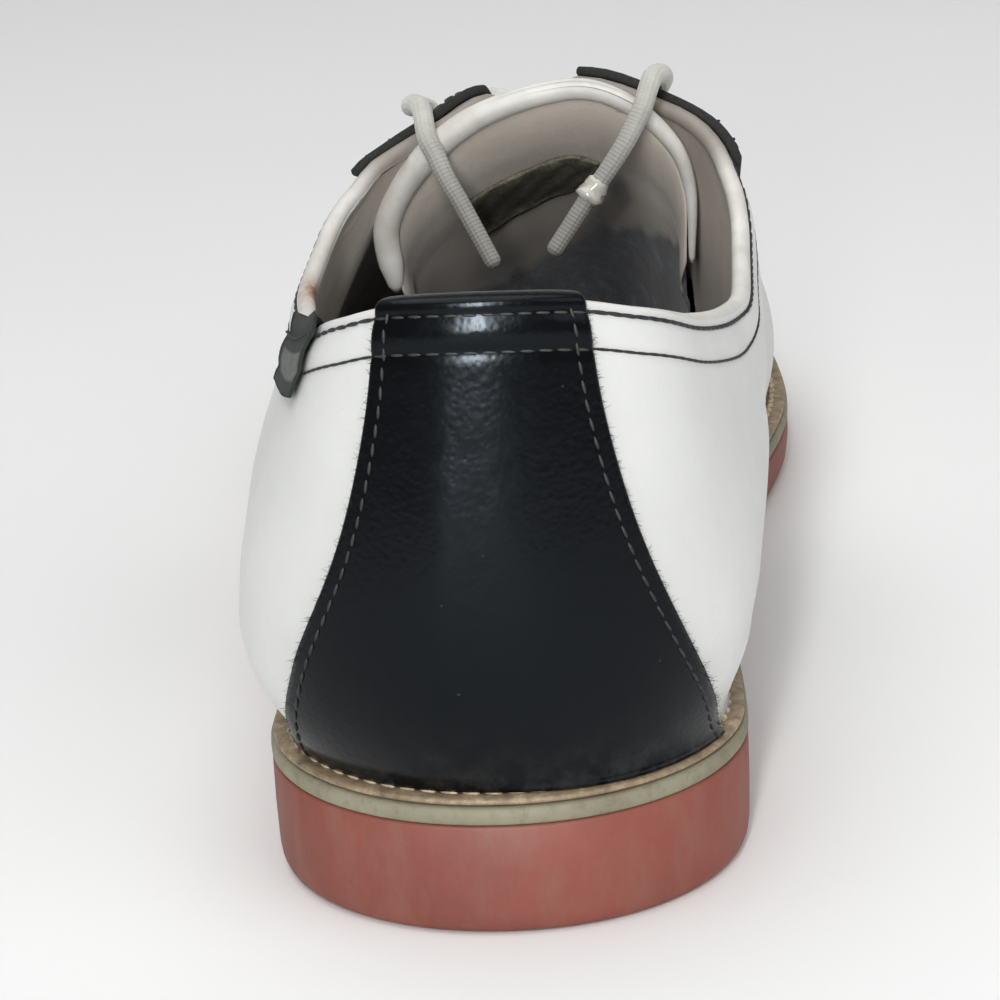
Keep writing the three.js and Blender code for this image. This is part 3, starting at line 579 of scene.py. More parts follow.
def lining(name, light, middle, dark):
    material, tree, shader = start_material(name)
    slow = grain(tree, 17, 4, 0.6, (1, 1, 0.55))
    nap = grain(tree, 0.7, 4, 0.7, (1, 1, 0.5))
    tone = shades(tree, slow, [(0.28, dark), (0.5, middle), (0.75, light)])
    tone = over(tree, tone, dark, nap, 0.35)
    # painted shade: darker deep in the shoe, under the tongue's roll and by its fold; on the upper the same
    # mark also holds the heel's rub
    tone = over(tree, tone, "#4B4139", "shade_and_rub", 0.85)
    # painted light: lighter and warmer just below the tongue's roll
    tone = over(tree, tone, "#DDD2C4", "painted_light", 0.8)
    # the navy sock; its lighter greys are painted light, lifting the navy where it lies deep in shade
    worn = shades(tree, grain(tree, 3.5, 5, 0.75, (1, 1, 0.4)),
                  [(0.35, "#2E3238"), (0.55, "#474C54"), (0.8, "#83878C")])
    tone = over(tree, tone, worn, "sock", shades(tree, nap, [(0.2, 0.85), (0.6, 1.0)]))
    dress(tree, shader, rust_stain(tree, tone), 0.93, [(slow, 0.5), (nap, 0.12)],
          Sheen_Weight=0.25, Sheen_Roughness=0.5)
    return material


RIM = rim_leather()
LINING = lining("brushed_beige_lining", "#D6CEC2", "#C3B9AC", "#A3978A")
TONGUE_LINING = lining("brushed_grey_tongue_lining", "#D2CBC1", "#BBB3A8", "#988F85")
print("made", RIM.name + ",", LINING.name, "and", TONGUE_LINING.name)

# %% [markdown]
# ## Rubber, crepe, welt and footbed
# The outsole is moulded rubber, matt and slightly chalky from use. The strip above it is greige
# crepe, which holds dirt. The welt is brown leather, rubbed to tan on its high places. The footbed
# is navy-grey board, darkened by the foot and streaked along it.

# %% Rubber, crepe, welt and footbed
def red_rubber():
    material, tree, shader = start_material("brick_red_moulded_rubber")
    tone = shades(tree, grain(tree, 26, 4, 0.6), [(0.3, "#7F4034"), (0.55, "#8D483B"), (0.8, "#975245")])
    smear = shades(tree, grain(tree, 7, 5, 0.7, (1, 1, 0.4)), [(0.45, 0.0), (0.75, 0.5)])
    tone = over(tree, tone, "#8E6A58", smear)
    specks = shades(tree, grain(tree, 5, feature="F1"), [(0.0, 1.0), (0.05, 0.0)])
    tone = over(tree, tone, "#5A3830", specks, 0.5)
    dress(tree, shader, tone, 0.62, [(grain(tree, 6, 3), 0.2), (grain(tree, 0.6, 3), 0.03)])
    return material


def greige_midsole():
    material, tree, shader = start_material("greige_crepe_midsole")
    tone = shades(tree, grain(tree, 14, 4, 0.6), [(0.3, "#857F69"), (0.7, "#9A957E")])
    tone = over(tree, tone, "#5F563F", shades(tree, grain(tree, 2.2, 5, 0.7), [(0.5, 0.0), (0.75, 0.5)]))
    dress(tree, shader, tone, 0.7, [(grain(tree, 0.8, 4), 0.06)])
    return material


def bronze_welt():
    material, tree, shader = start_material("bronze_brown_leather_welt")
    tone = shades(tree, grain(tree, 2.4, 5, 0.7), [(0.3, "#6E5D49"), (0.55, "#A08C70"), (0.75, "#CDB898")])
    dress(tree, shader, tone, 0.5, [(grain(tree, 1.1, 5, 0.7), 0.2)])
    return material


def navy_insole():
    material, tree, shader = start_material("navy_grey_footbed")
    tone = shades(tree, grain(tree, 9, 5, 0.65), [(0.3, "#24262D"), (0.55, "#383B45"), (0.78, "#5A5E68")])
    streak = shades(tree, grain(tree, 1.1, 5, 0.7, (1, 0.3, 1)), [(0.55, 0.0), (0.8, 0.5)])
    tone = over(tree, tone, "#7A7C80", streak)
    dress(tree, shader, tone, 0.85, [(grain(tree, 0.7, 4, 0.7), 0.12)])
    return material


RED, GREIGE, BRONZE, NAVY = red_rubber(), greige_midsole(), bronze_welt(), navy_insole()
print("made", ", ".join(material.name for material in (RED, GREIGE, BRONZE, NAVY)))

# %% [markdown]
# ## Thread, ribbon and label
# Thread is twisted polyester, dull with a faint shimmer. The green tab is woven ribbon: warp and
# weft are two waves on its own UV map, drawn coarser than real ones, which would be too fine to show.
# The label's cloth is worn pale at its edges. A scrap of clear plastic is left on one lace end.

# %% Thread, ribbon and label
def thread(name, dark, light):
    material, tree, shader = start_material(name)
    dress(tree, shader, shades(tree, grain(tree, 0.8, 3), [(0.35, dark), (0.7, light)]), 0.6)
    return material


def green_ribbon():
    material, tree, shader = start_material("green_woven_ribbon")
    place = add_node(tree, "ShaderNodeUVMap", {"uv_map": "UVMap"}).outputs[0]
    warp = add_node(tree, "ShaderNodeTexWave", {"bands_direction": "X"}, Vector=place, Scale=9.0,
                    Distortion=1.5, Detail=2.0).outputs["Fac"]
    weft = add_node(tree, "ShaderNodeTexWave", {"bands_direction": "Y"}, Vector=place, Scale=12.0,
                    Distortion=1.0).outputs["Fac"]
    weave = add_node(tree, "ShaderNodeMath", {"operation": "ADD"}, warp, weft).outputs[0]
    rough = grain(tree, 1.5, 5, 0.7)
    tone = shades(tree, rough, [(0.3, "#1F2A24"), (0.7, "#35463B")])
    tone = over(tree, tone, "#9CA29C", "badge", shades(tree, rough, [(0.3, 0.55), (0.6, 1.0)]))
    tone = over(tree, tone, "#20261F", weft, 0.25)
    dress(tree, shader, tone, 0.75, [(weave, 0.12)])
    return material


def label_cloth():
    material, tree, shader = start_material("olive_woven_label_worn")
    rough = grain(tree, 1.3, 5, 0.7)
    tone = shades(tree, rough, [(0.3, "#2B271C"), (0.55, "#3F3A2B"), (0.78, "#5C5744")])
    frayed = shades(tree, grain(tree, 0.8, 4, 0.7), [(0.35, 0.0), (0.65, 0.8)])
    dress(tree, shader, over(tree, tone, "#8F8875", "edge", frayed), 0.8, [(rough, 0.2)])
    return material


def clear_sleeve():
    material, tree, shader = start_material("clear_plastic_sleeve_remains")
    dress(tree, shader, "#C4C1B8", 0.18, Coat_Weight=0.6)
    return material


BLACK_THREAD = thread("black_polyester_thread", "#141518", "#2C2E31")
OLIVE_THREAD = thread("olive_black_thread", "#141614", "#2E332F")
TAN_THREAD = thread("tan_waxed_thread", "#B59F7C", "#E6D6BC")
RIBBON_GREEN, LABEL_CLOTH, SLEEVE = green_ribbon(), label_cloth(), clear_sleeve()
print("made three threads,", RIBBON_GREEN.name + ",", LABEL_CLOTH.name, "and", SLEEVE.name)

# %% [markdown]
# ## Cotton lace
# A round lace is a braid of cotton strands. Two sine waves that wind opposite ways round the cord's
# UV map cross in diamonds, as the strands do. A braid modelled strand by strand would look the same
# at this size and cost a hundred times the faces.

# %% Cotton lace
BRAID_STRANDS, BRAID_TURNS = 12, 5


def cotton_lace():
    material, tree, shader = start_material("waxed_cotton_braid")
    place = add_node(tree, "ShaderNodeUVMap", {"uv_map": "UVMap"}).outputs[0]
    parts = add_node(tree, "ShaderNodeSeparateXYZ", None, place).outputs
    strands, turns = [
        add_node(tree, "ShaderNodeMath", {"operation": "MULTIPLY"}, part, count * math.pi).outputs[0]
        for part, count in ((parts[0], BRAID_STRANDS), (parts[1], BRAID_TURNS))]
    waves = []
    for way in ("ADD", "SUBTRACT"):
        phase = add_node(tree, "ShaderNodeMath", {"operation": way}, strands, turns).outputs[0]
        waves.append(add_node(tree, "ShaderNodeMath", {"operation": "SINE"}, phase).outputs[0])
    crossed = add_node(tree, "ShaderNodeMath", {"operation": "MULTIPLY"}, *waves).outputs[0]
    braid = add_node(tree, "ShaderNodeMath", {"operation": "MULTIPLY_ADD"}, crossed, 0.5, 0.5).outputs[0]
    gaps = add_node(tree, "ShaderNodeMath", {"operation": "SUBTRACT"}, 1.0, braid).outputs[0]
    tone = shades(tree, grain(tree, 6, 4, 0.6), [(0.3, "#CFCDC4"), (0.7, "#E8E7DF")])
    tone = over(tree, tone, "#8E8B82", gaps, 0.12)
    # painted shade: the lace is darker towards its tips, deep in the shoe
    tone = over(tree, tone, "#6F6C66", "lace_shade", 0.8)
    dress(tree, shader, tone, 0.75, [(braid, 0.12)], Sheen_Weight=0.2)
    return material


COTTON = cotton_lace()
print("finishes:", len(bpy.data.materials))

# %% [markdown]
# ## Meshes from points
# Every piece below is worked out as points and faces. One function turns them into a mesh with its
# materials and painted marks, and a few more make grids on the last, join them and cut round holes.
# Modelling by hand in Edit Mode could give one shoe; a grid on the last gives every size of it.

# %% Meshes from points
def make_object(name, points, faces, materials, slots, marks=None, uvs=None):
    """A mesh object from points in mm; slots is each face's material, marks are painted numbers."""
    mesh = bpy.data.meshes.new(name)
    mesh.from_pydata([tuple(p) for p in (np.asarray(points) * MM).tolist()], [], faces)
    for material in materials:
        mesh.materials.append(material)
    mesh.polygons.foreach_set("material_index", np.asarray(slots, dtype=np.int32))
    mesh.polygons.foreach_set("use_smooth", np.ones(len(mesh.polygons), dtype=bool))
    for key, values in (marks or {}).items():
        painted = mesh.attributes.new(key, "FLOAT", "POINT")
        painted.data.foreach_set("value", np.asarray(values, np.float32))
    if uvs is not None:
        mesh.uv_layers.new(name="UVMap").data.foreach_set("uv", np.asarray(uvs, np.float32).ravel())
    mesh.validate()
    made = bpy.data.objects.new(name, mesh)
    scene.collection.objects.link(made)
    return made


def grid(columns, rows, place):
    """Corners (w, v) of a grid and its four-cornered cells."""
    a, b = np.meshgrid(columns, rows, indexing="ij")
    w, v = place(a.ravel(), b.ravel())
    n = len(rows)
    i, j = np.meshgrid(np.arange(len(columns) - 1), np.arange(n - 1), indexing="ij")
    first = (i * n + j).ravel()
    return np.stack([w, v], -1), np.stack([first, first + n, first + n + 1, first + 1], -1)


def join(parts):
    """Several grids as one list of corners and cells."""
    corners, quads, count = [], [], 0
    for some, cell in parts:
        corners.append(some)
        quads.append(cell + count)
        count += len(some)
    return np.concatenate(corners), np.concatenate(quads)


def mirror(part):
    corners, quads = part
    return corners * [-1, 1], quads[:, ::-1]


def cut_holes(corners, quads, centres, radius):
    """Round holes: cells inside go, and the border's corners move onto the circle."""
    points = form(corners[:, 0], corners[:, 1])
    keep = np.ones(len(quads), bool)
    for w, v in centres:
        centre = form(w, v)
        distance = np.linalg.norm(points - centre, axis=1)
        hit = (distance[quads] < radius * 0.96).any(axis=1)
        edge = np.intersect1d(quads[hit & keep], quads[~hit & keep])
        keep &= ~hit
        scale = (radius / distance[edge])[:, None]
        corners[edge] = [w, v] + (corners[edge] - [w, v]) * scale
    return corners, quads[keep]


def finish(piece, nodes):
    """Hand a finished piece to the frame: it rides the shoe and stands for its CAD nodes."""
    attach(piece, "root")
    if nodes:
        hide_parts(*nodes)
    return piece


print("grids are made from steps w and v on the last")

# %% [markdown]
# ## Sheets of leather
# Leather pieces are sheets with two faces and a rounded cut edge. One function makes them all: it
# takes cells between points of the last, places each point's outer and inner face, and rolls an edge
# round every free border. Solidify could thicken a surface too, but it can't tell a rolled rim from
# a cut one.

# %% Sheets of leather
def free_borders(cells):
    """The cells without their doubled corners, and the edges that only one cell has."""
    polygons, free = [], {}
    for cell in cells:
        ring = [c for k, c in enumerate(cell) if c != cell[k - 1]]
        if len(set(ring)) < 3 or len(set(ring)) != len(ring):
            continue
        polygons.append(ring)
        for k, a in enumerate(ring):
            b = ring[(k + 1) % len(ring)]
            if free.pop((b, a), None) is None:
                free[(a, b)] = True
    return polygons, np.array(list(free))


def sheet(name, corners, quads, outer, inner, materials, roll=1.0, rings=5, marks=None, turned=None):
    """A closed sheet; roll is how round its free edges are, a number or a function of the corners.
    turned says which corners of the inner face still belong to the turned-over edge."""
    face, back = outer(corners), inner(corners)
    _, first, index = np.unique(np.round(face, 3), axis=0, return_index=True, return_inverse=True)
    index = index.ravel()
    face, back, corners = face[first], back[first], corners[first]
    count = len(face)
    polygons, border = free_borders(index[quads].tolist())
    middle = (face + back) / 2
    away = np.zeros_like(face)
    half = (face - back) / 2
    along = face[border[:, 1]] - face[border[:, 0]]
    side = np.cross(along, half[border[:, 0]] + half[border[:, 1]])
    for column in (0, 1):
        np.add.at(away, border[:, column], unit(side))
    away = unit(away)
    used = np.unique(border)
    amount = roll(corners[used]) if callable(roll) else np.full(len(used), float(roll))
    thick = np.linalg.norm(half[used], axis=1, keepdims=True)
    angles = np.arange(1, rings + 1) / (rings + 1) * math.pi
    ring_points = []
    for t in angles:
        outwards = away[used] * thick * (math.sin(t) * amount)[:, None]
        ring_points.append(middle[used] + half[used] * math.cos(t) + outwards)
    spot = {int(v): k for k, v in enumerate(used)}
    faces = polygons + [[c + count for c in ring[::-1]] for ring in polygons]
    over = turned(corners) if turned else np.zeros(count, bool)
    slots = [0] * len(polygons) + [2 if over[ring].all() else 1 for ring in polygons]
    for a, b in border.tolist():
        left = [a] + [2 * count + k * len(used) + spot[a] for k in range(rings)] + [a + count]
        right = [b] + [2 * count + k * len(used) + spot[b] for k in range(rings)] + [b + count]
        for k in range(rings + 1):
            faces.append([right[k], left[k], left[k + 1], right[k + 1]])
            slots.append(2)
    points = np.concatenate([face, back] + ring_points)
    wv = np.concatenate([corners, corners] + [corners[used]] * rings)
    painted = {key: maker(wv, points) for key, maker in (marks or {}).items()}
    return make_object(name, points, faces, materials, slots, painted)


print("a sheet has an outer face, an inner face and a rolled edge")


# %% [markdown]
# ## Creases
# A worn shoe keeps the marks of the foot: the vamp folds behind the toes and the quarters dent below
# the ankle. The main creases are listed as soft troughs with a ridge on each side, in the last's own
# steps, so that every overlay and stitch above them dips with them.

# %% Creases in the last
CREASES = [  # from w, v to w, v, depth and width in mm, side (-1 lateral, 1 medial, 0 both)
    (1.80, 0.45, 1.82, 2.0, 1.3, 4.5, 0), (1.86, 0.40, 1.89, 2.0, 1.6, 4.5, 0),
    (1.93, 0.45, 1.96, 2.0, 1.1, 4.0, 0), (1.74, 0.55, 1.78, 1.3, 0.7, 4.0, -1),
    (1.14, 0.97, 1.20, 0.62, 0.7, 7.0, -1), (1.10, 0.93, 1.22, 0.58, 0.6, 7.0, 1),
    (0.62, 0.30, 0.95, 0.44, 0.35, 6.0, -1), (0.70, 0.24, 1.00, 0.30, 0.3, 5.0, 1),
    (1.32, 0.30, 1.52, 0.46, 0.6, 6.0, -1), (1.30, 0.36, 1.50, 0.50, 0.6, 6.0, 1),
]


def lay(w, v):
    """Steps as rough millimetres along and up the last."""
    u = np.abs(w)
    along = np.where(u < 1, 53 * u, np.where(u < 2, 53 + 172 * (u - 1), 225 + 85 * (u - 2)))
    return np.stack([along, np.where(v < 1, 75 * v, 75 + 7 * (v - 1))], -1)


def crease(w, v):
    depth = np.zeros(np.shape(w))
    here = lay(w, v)
    for w0, v0, w1, v1, deep, wide, side in CREASES:
        a, b = lay(np.float64(w0), np.float64(v0)), lay(np.float64(w1), np.float64(v1))
        k = np.clip(((here - a) @ (b - a)) / ((b - a) @ (b - a)), 0, 1)
        x = np.linalg.norm(here - a - k[..., None] * (b - a), axis=-1) / wide
        shape = (1 - 1.1 * x * x) * np.exp(-x * x) * (1.0 if side == 0 else (np.sign(w) == side))
        depth -= deep * shape
    return depth


print("deepest crease:", max(row[4] for row in CREASES), "mm")

# %% [markdown]
# ## The skin over the last
# The leather isn't the bare last. It dips at the creases, is drawn in by the collar's two rows of
# stitches and puffs up between them, flares out to the welt at its foot, and its collar has sagged a
# little with wear. Displace could do this with a texture; a function keeps every overlay above it.

# %% The skin over the last
ROWS_DOWN = (1.5, 7.3)


def down(w, v):
    """How far a point lies below the collar's or throat's edge, in mm."""
    return np.where(v < 1, np.linalg.norm(form(w, v) - form(w, np.ones(np.shape(v))), axis=-1), 0.0)


def skin(w, v, out):
    """The last with its creases, and the collar's band drawn in by its two rows of stitches."""
    w, v = np.broadcast_arrays(np.asarray(w, float), np.asarray(v, float))
    below = down(w, v)
    on_collar = soft((step_at(94.0) - np.abs(w)) * 40)
    dents = sum(-0.22 * np.exp(-((below - row) / 0.6) ** 2) for row in ROWS_DOWN)
    puff = 0.22 * np.exp(-((below - 4.5) / 1.9) ** 2)
    flare = np.exp(-v / 0.045) * mix(1.0, 2.4, soft((w + 0.1) / 0.5)) * soft((2.2 - np.abs(w)) * 2)
    settled = -1.2 * on_collar * np.exp(-(below / 3.0) ** 2)
    raised = out + crease(w, v) + flare + on_collar * (dents + puff)
    return form(w, v) + facing(w, v) * raised[..., None] + settled[..., None] * [0, 0, 1]


print("stitch rows lie", ROWS_DOWN, "mm below the collar's edge")

# %% [markdown]
# ## The upper
# The white upper is one hollow wall, open at the collar and the throat. Its collar is a turned edge
# about 2.5 mm thick, rolled to a round rim, and its inside is a brushed lining. A dense grid on the
# last gives a smooth outline, and the rim is rolled round the grid's free border.

# %% Grid of the upper
def throat_edge(v):
    radius = THROAT / 2
    across = radius * (2 - v)
    return step_at(THROAT_END - radius + np.sqrt(np.maximum(radius ** 2 - across ** 2, 0)))


THROAT_LAST = float(throat_edge(np.float64(1.0)))
EYELET_PLACES = [mix(EYELET_LAST, EYELET_FIRST, k / (EYELETS - 1)) for k in range(EYELETS)]
EYELET_STEPS = [float(step_at(place)) for place in EYELET_PLACES]
HOLES = [(side * u, float(up_at(side * u, EYELET_IN))) for u in EYELET_STEPS for side in (-1, 1)]
ROWS_UP = np.concatenate([np.linspace(0, 0.1, 7), np.linspace(0.1, 0.85, 42)[1:],
                          np.linspace(0.85, 1, 21)[1:]])
ROWS_OVER = np.linspace(1, 2, 8)


def upper_part():
    side = np.concatenate([np.linspace(0, 1, 34)[:-1], np.linspace(1, THROAT_LAST, 84)[:-1],
                           np.linspace(THROAT_LAST, 2, 30)[:-1], np.linspace(2, 3, 38)])
    whole = np.concatenate([-side[:0:-1], side])
    body = grid(whole, ROWS_UP, lambda w, v: (w, v))
    over = grid(side[side >= THROAT_LAST], ROWS_OVER, lambda w, v: (np.maximum(w, throat_edge(v)), v))
    return join([body, over, mirror(over)])


print("eyelets:", len(HOLES), "holes", EYELET_WIDTH, "mm wide")

# %% [markdown]
# ## Where the upper gets dirty, and its painted shade
# Dirt isn't even: it gathers above the welt. The lining is painted darker deep in the shoe, as
# painted shade, and darker where the heel rubs, and a rust-brown spot lies by the tab. Each is a
# number from 0 to 1 at every corner of the mesh, which a texture painter would brush on. Here it is
# worked out from the shoe's places.

# %% Where the upper gets dirty, and its painted shade
def low_dirt(_, points):
    """Dirt gathers just above the welt."""
    return np.exp(-((points[:, 2] - welt_top(points[:, 1] + BACK)) / 3.2)) * 0.9


def collar_shade_and_rub(wv, _):
    """Painted shade: the lining is darker the deeper it lies. It is also darker where the heel rubs."""
    below = down(wv[:, 0], wv[:, 1])
    rub = np.exp(-((np.abs(wv[:, 0]) - 0.9) / 0.35) ** 2) * np.exp(-((below - 14) / 8) ** 2) * 0.35
    # painted shade deepens below the collar's edge; the rub near the heel is wear
    return np.clip(0.55 * soft((below - 4) / 45) + rub, 0, 1)


def rust_spot(_, points):
    centre = form(-step_at(65.0), 0.99) - facing(-step_at(65.0), 0.99) * 2.9
    return np.exp(-np.sum(((points - centre) / [2.6, 4.0, 3.2]) ** 2, axis=1))


def sock(wv, _):
    """Where the inside is covered by the navy sock instead of the beige lining."""
    return soft((0.42 - wv[:, 1]) * 8)


COVERED = float(step_at(LENGTH * curve(SADDLE, 1)(1.0)))


def covered(wv, _):
    """Under the saddle the rim shows only its lining."""
    return soft((np.abs(wv[:, 0]) - COVERED) * 30 + 0.5)


UPPER_MARKS = {"dirt": low_dirt, "shade_and_rub": collar_shade_and_rub, "rust": rust_spot, "sock": sock, "covered": covered}
print("marks on the upper:", ", ".join(UPPER_MARKS))

# %% [markdown]
# ## The upper's wall and rim
# The wall grows a little thicker near the collar, where the lining's padding ends, and its edge is
# rolled: high and round along the topline, flat at the foot, low under the counter's fold.

# %% The upper's wall and rim
def padded(w, v):
    """The wall's thickness in mm."""
    return WALL + 0.5 * np.exp(-down(w, v) / 5.0) * soft((step_at(104.0) - np.abs(w)) * 20)


def rim_roll(wv):
    """How far the rim stands up: nothing at the foot, little under the counter's fold."""
    tall = mix(0.2, 1.1, soft((np.abs(wv[:, 0]) - 0.42) / 0.6))
    return np.where(wv[:, 1] < 0.01, 0.02, tall)


corners, quads = cut_holes(*upper_part(), HOLES, EYELET_WIDTH / 2)
upper = sheet("upper_leather", corners, quads, lambda c: skin(c[:, 0], c[:, 1], 0.0),
              lambda c: skin(c[:, 0], c[:, 1], -padded(c[:, 0], c[:, 1])), [WHITE, LINING, RIM],
              roll=rim_roll, rings=6,
              turned=lambda c: (down(c[:, 0], c[:, 1]) < 1.1) & (c[:, 1] <= 1), marks=UPPER_MARKS)
finish(upper, ["upper"])
print("upper:", len(upper.data.polygons), "faces")

# %% [markdown]
# ## The saddle
# The black saddle lies over the white leather, from the welt up both sides to the eyelets, and is
# joined in front of the throat. Its cut edges are left raw. It is the same grid idea, with its rear
# and front edges taken from the saddle's table.

# %% Saddle
rear_edge, front_edge = curve(SADDLE, 1), curve(SADDLE, 2)


def saddle_part():
    turn = (along_at(THROAT_LAST) / LENGTH - rear_edge(1.0)) / (front_edge(1.0) - rear_edge(1.0))
    shares = np.concatenate([np.linspace(0, turn, 66)[:-1], np.linspace(turn, 1, 14)])
    half = grid(shares, ROWS_UP, lambda s, v: (step_at(LENGTH * mix(rear_edge(v), front_edge(v), s)), v))
    tops = step_at(LENGTH * mix(rear_edge(1.0), front_edge(1.0), shares))
    over = grid(tops[shares >= turn], ROWS_OVER, lambda w, v: (np.maximum(w, throat_edge(v)), v))
    return join([half, mirror(half), over, mirror(over)])


corners, quads = cut_holes(*saddle_part(), HOLES, EYELET_WIDTH / 2)
saddle = sheet("saddle_leather", corners, quads, lambda c: skin(c[:, 0], c[:, 1], STAND_OFF + OVERLAY),
               lambda c: skin(c[:, 0], c[:, 1], STAND_OFF - 0.2), [BLACK, RAW, RAW],
               roll=lambda c: np.where(c[:, 1] < 0.01, 0.02, 0.55), rings=3, marks={"dirt": low_dirt})
finish(saddle, ["saddle"])
print("saddle:", len(saddle.data.polygons), "faces")

# %% [markdown]
# ## The heel counter
# The counter is a trapezoid of black leather up the back of the heel. At the top it is turned over
# the rim, so its grid goes on round the rim, and its top corners are rounded.

# %% Heel counter
lateral_edge, medial_edge = curve(COUNTER, 1), curve(COUNTER, 2)
CORNER = 2.2
RIM_TURN = 0.55


def over_rim(w, v, out):
    """Like skin, and for v above 1 on round the collar's rim: v of 2 is half a turn."""
    turn = np.clip(v - 1, 0, 1) * math.pi
    base = skin(w, np.minimum(v, 1.0), 0.0)
    n = facing(w, np.ones(np.shape(w)))
    up = unit(form(w, np.ones(np.shape(w))) - form(w, np.full(np.shape(w), 0.98)))
    rise = (0.45 + 0.6 * (out + 0.1))[:, None] * np.sin(turn)[:, None]
    round_rim = base - n * WALL / 2 + n * np.cos(turn)[:, None] * (WALL / 2 + out)[:, None] + up * rise
    return np.where((v > 1)[:, None], round_rim, skin(w, np.minimum(v, 1.0), out))


def counter_part():
    rows = np.concatenate([ROWS_UP, 1 + np.linspace(0, RIM_TURN, 9)[1:]])

    def place(s, v):
        level = np.minimum(v, 1.0)
        to_end = (1 - level) * 75 + (1 + RIM_TURN - np.maximum(v, 1)) * math.pi * 2
        inset = CORNER - np.sqrt(np.maximum(CORNER ** 2 - np.maximum(CORNER - to_end, 0) ** 2, 0))
        return mix(-lateral_edge(level) + inset / 62, medial_edge(level) - inset / 62, s), v

    return grid(np.linspace(0, 1, 60), rows, place)


corners, quads = counter_part()
counter = sheet("heel_counter_leather", corners, quads,
                lambda c: over_rim(c[:, 0], c[:, 1], np.full(len(c), STAND_OFF + OVERLAY)),
                lambda c: over_rim(c[:, 0], c[:, 1], np.full(len(c), STAND_OFF - 0.2)),
                [BLACK, RAW, RAW], roll=lambda c: np.where(c[:, 1] < 0.01, 0.02, 0.5), rings=3,
                marks={"dirt": low_dirt})
finish(counter, ["counter"])
print("counter:", len(counter.data.polygons), "faces")

# %% [markdown]
# ## The tongue
# The tongue lies under the lacing and ends in an arch above the collar, where its white leather is
# turned to a thick rounded edge. Its grid blends the last's instep into that arch.

# %% Tongue
depth_share, sink_share, span_share = (curve(TONGUE_SHAPE, i) for i in (1, 2, 3))
end_x, end_z = curve(TONGUE_END, 1), curve(TONGUE_END, 2)


def tongue_face(share, across):
    """The tongue's outer face: an arch at its free end, then a narrower strip under the throat."""
    end = TONGUE_TOP + TONGUE_BOW * across ** 2
    d = mix(end, TONGUE_FRONT, share)
    blend = soft((d - end) / TONGUE_BLEND)
    narrow = across * mix(1.0, 0.5 + 0.5 * soft((d - 130.0) / 20), blend)
    inside = np.maximum(d, THROAT_START)
    length = np.abs(narrow) * BALL_WIDTH * span_share(d / LENGTH)
    w = np.where(narrow < 0, -1, 1) * step_at(inside)
    beside = up_at(w, np.maximum(length - THROAT / 2, 0))
    v = np.where(length < THROAT / 2, 2 - length / (THROAT / 2), beside)
    under = BALL_WIDTH * (depth_share(d / LENGTH) + sink_share(d / LENGTH) * narrow * narrow)
    below = pushed(w, v, -under) + (inside - d)[:, None] * [0, -1, TONGUE_SLOPE]
    arch = np.stack([BALL_WIDTH * end_x(across), d - BACK,
                     INSTEP_HEIGHT * end_z(across) - TONGUE_SLOPE * (d - end)], -1)
    return mix(arch, below, blend[:, None])


def tongue_back(share, across):
    """The lining side; the leather is skived thin near its free end, where it is rolled."""
    e = 0.01
    along = tongue_face(np.minimum(share + e, 1), across) - tongue_face(np.maximum(share - e, 0), across)
    over = tongue_face(share, np.minimum(across + e, 1)) - tongue_face(share, np.maximum(across - e, -1))
    thick = mix(0.9, TONGUE, soft((share - 0.15) * 6))
    return tongue_face(share, across) + unit(np.cross(along, -over)) * -np.reshape(thick, (-1, 1))


ROLL = 1.75
NECK = 0.36


def unmarked(wv, _):
    return 0 * wv[:, 0]


def roll_centre(across):
    """The middle of the rolled edge along the tongue's free end, and the way inwards from it."""
    e = 0.01
    ahead, behind = np.minimum(across + e, 1), np.maximum(across - e, -1)
    run = np.stack([BALL_WIDTH * (end_x(ahead) - end_x(behind)), 0 * across,
                    INSTEP_HEIGHT * (end_z(ahead) - end_z(behind))], -1)
    inward = unit(np.cross(np.array([0.0, 1.0, 0.0]), run))
    return tongue_face(0 * across, across) + inward * ROLL * 0.9 + [0, ROLL * 0.7, 0], inward


shares = np.concatenate([np.linspace(0, 0.12, 14)[:-1], np.linspace(0.12, 1, 40)])
strip = NECK + (1 - NECK) * soft((shares - 0.35) / 0.2)
corners, quads = grid(shares, np.linspace(-1, 1, 56), lambda a, b: (a, b * np.interp(a, shares, strip)))
tongue = sheet("tongue_leather", corners, quads, lambda c: tongue_face(c[:, 0], c[:, 1]),
               lambda c: tongue_back(c[:, 0], c[:, 1]), [WHITE, TONGUE_LINING, RIM], rings=5,
               marks={key: unmarked for key in ("shade_and_rub", "dirt", "rust", "sock")})
finish(tongue, ["tongue"])
print("tongue:", len(tongue.data.polygons), "faces")

# %% [markdown]
# ## The tongue's lining
# The tongue is padded. Its brushed lining hangs from the rolled edge, sags below it and folds on the
# medial side. A cloth simulation could hang it, but its fold has one place on this shoe, so it is
# lofted from the roll to a row of points deep in the shoe and its fold is given its place.

# %% Tongue lining
LINING_END = np.array([  # across, x, y, z in mm of the lining's deep border
    [-1.0, -14.0, 88.0, 42.0], [-0.6, -10.0, 98.0, 44.0], [-0.2, 0.0, 104.0, 46.0],
    [0.15, 11.0, 104.0, 47.0], [0.4, 17.5, 100.0, 48.0], [0.6, 21.5, 94.0, 49.0],
    [0.8, 24.5, 86.0, 49.0], [1.0, 26.5, 77.0, 48.0]])
lining_x, lining_y, lining_z = (curve(LINING_END, i) for i in (1, 2, 3))


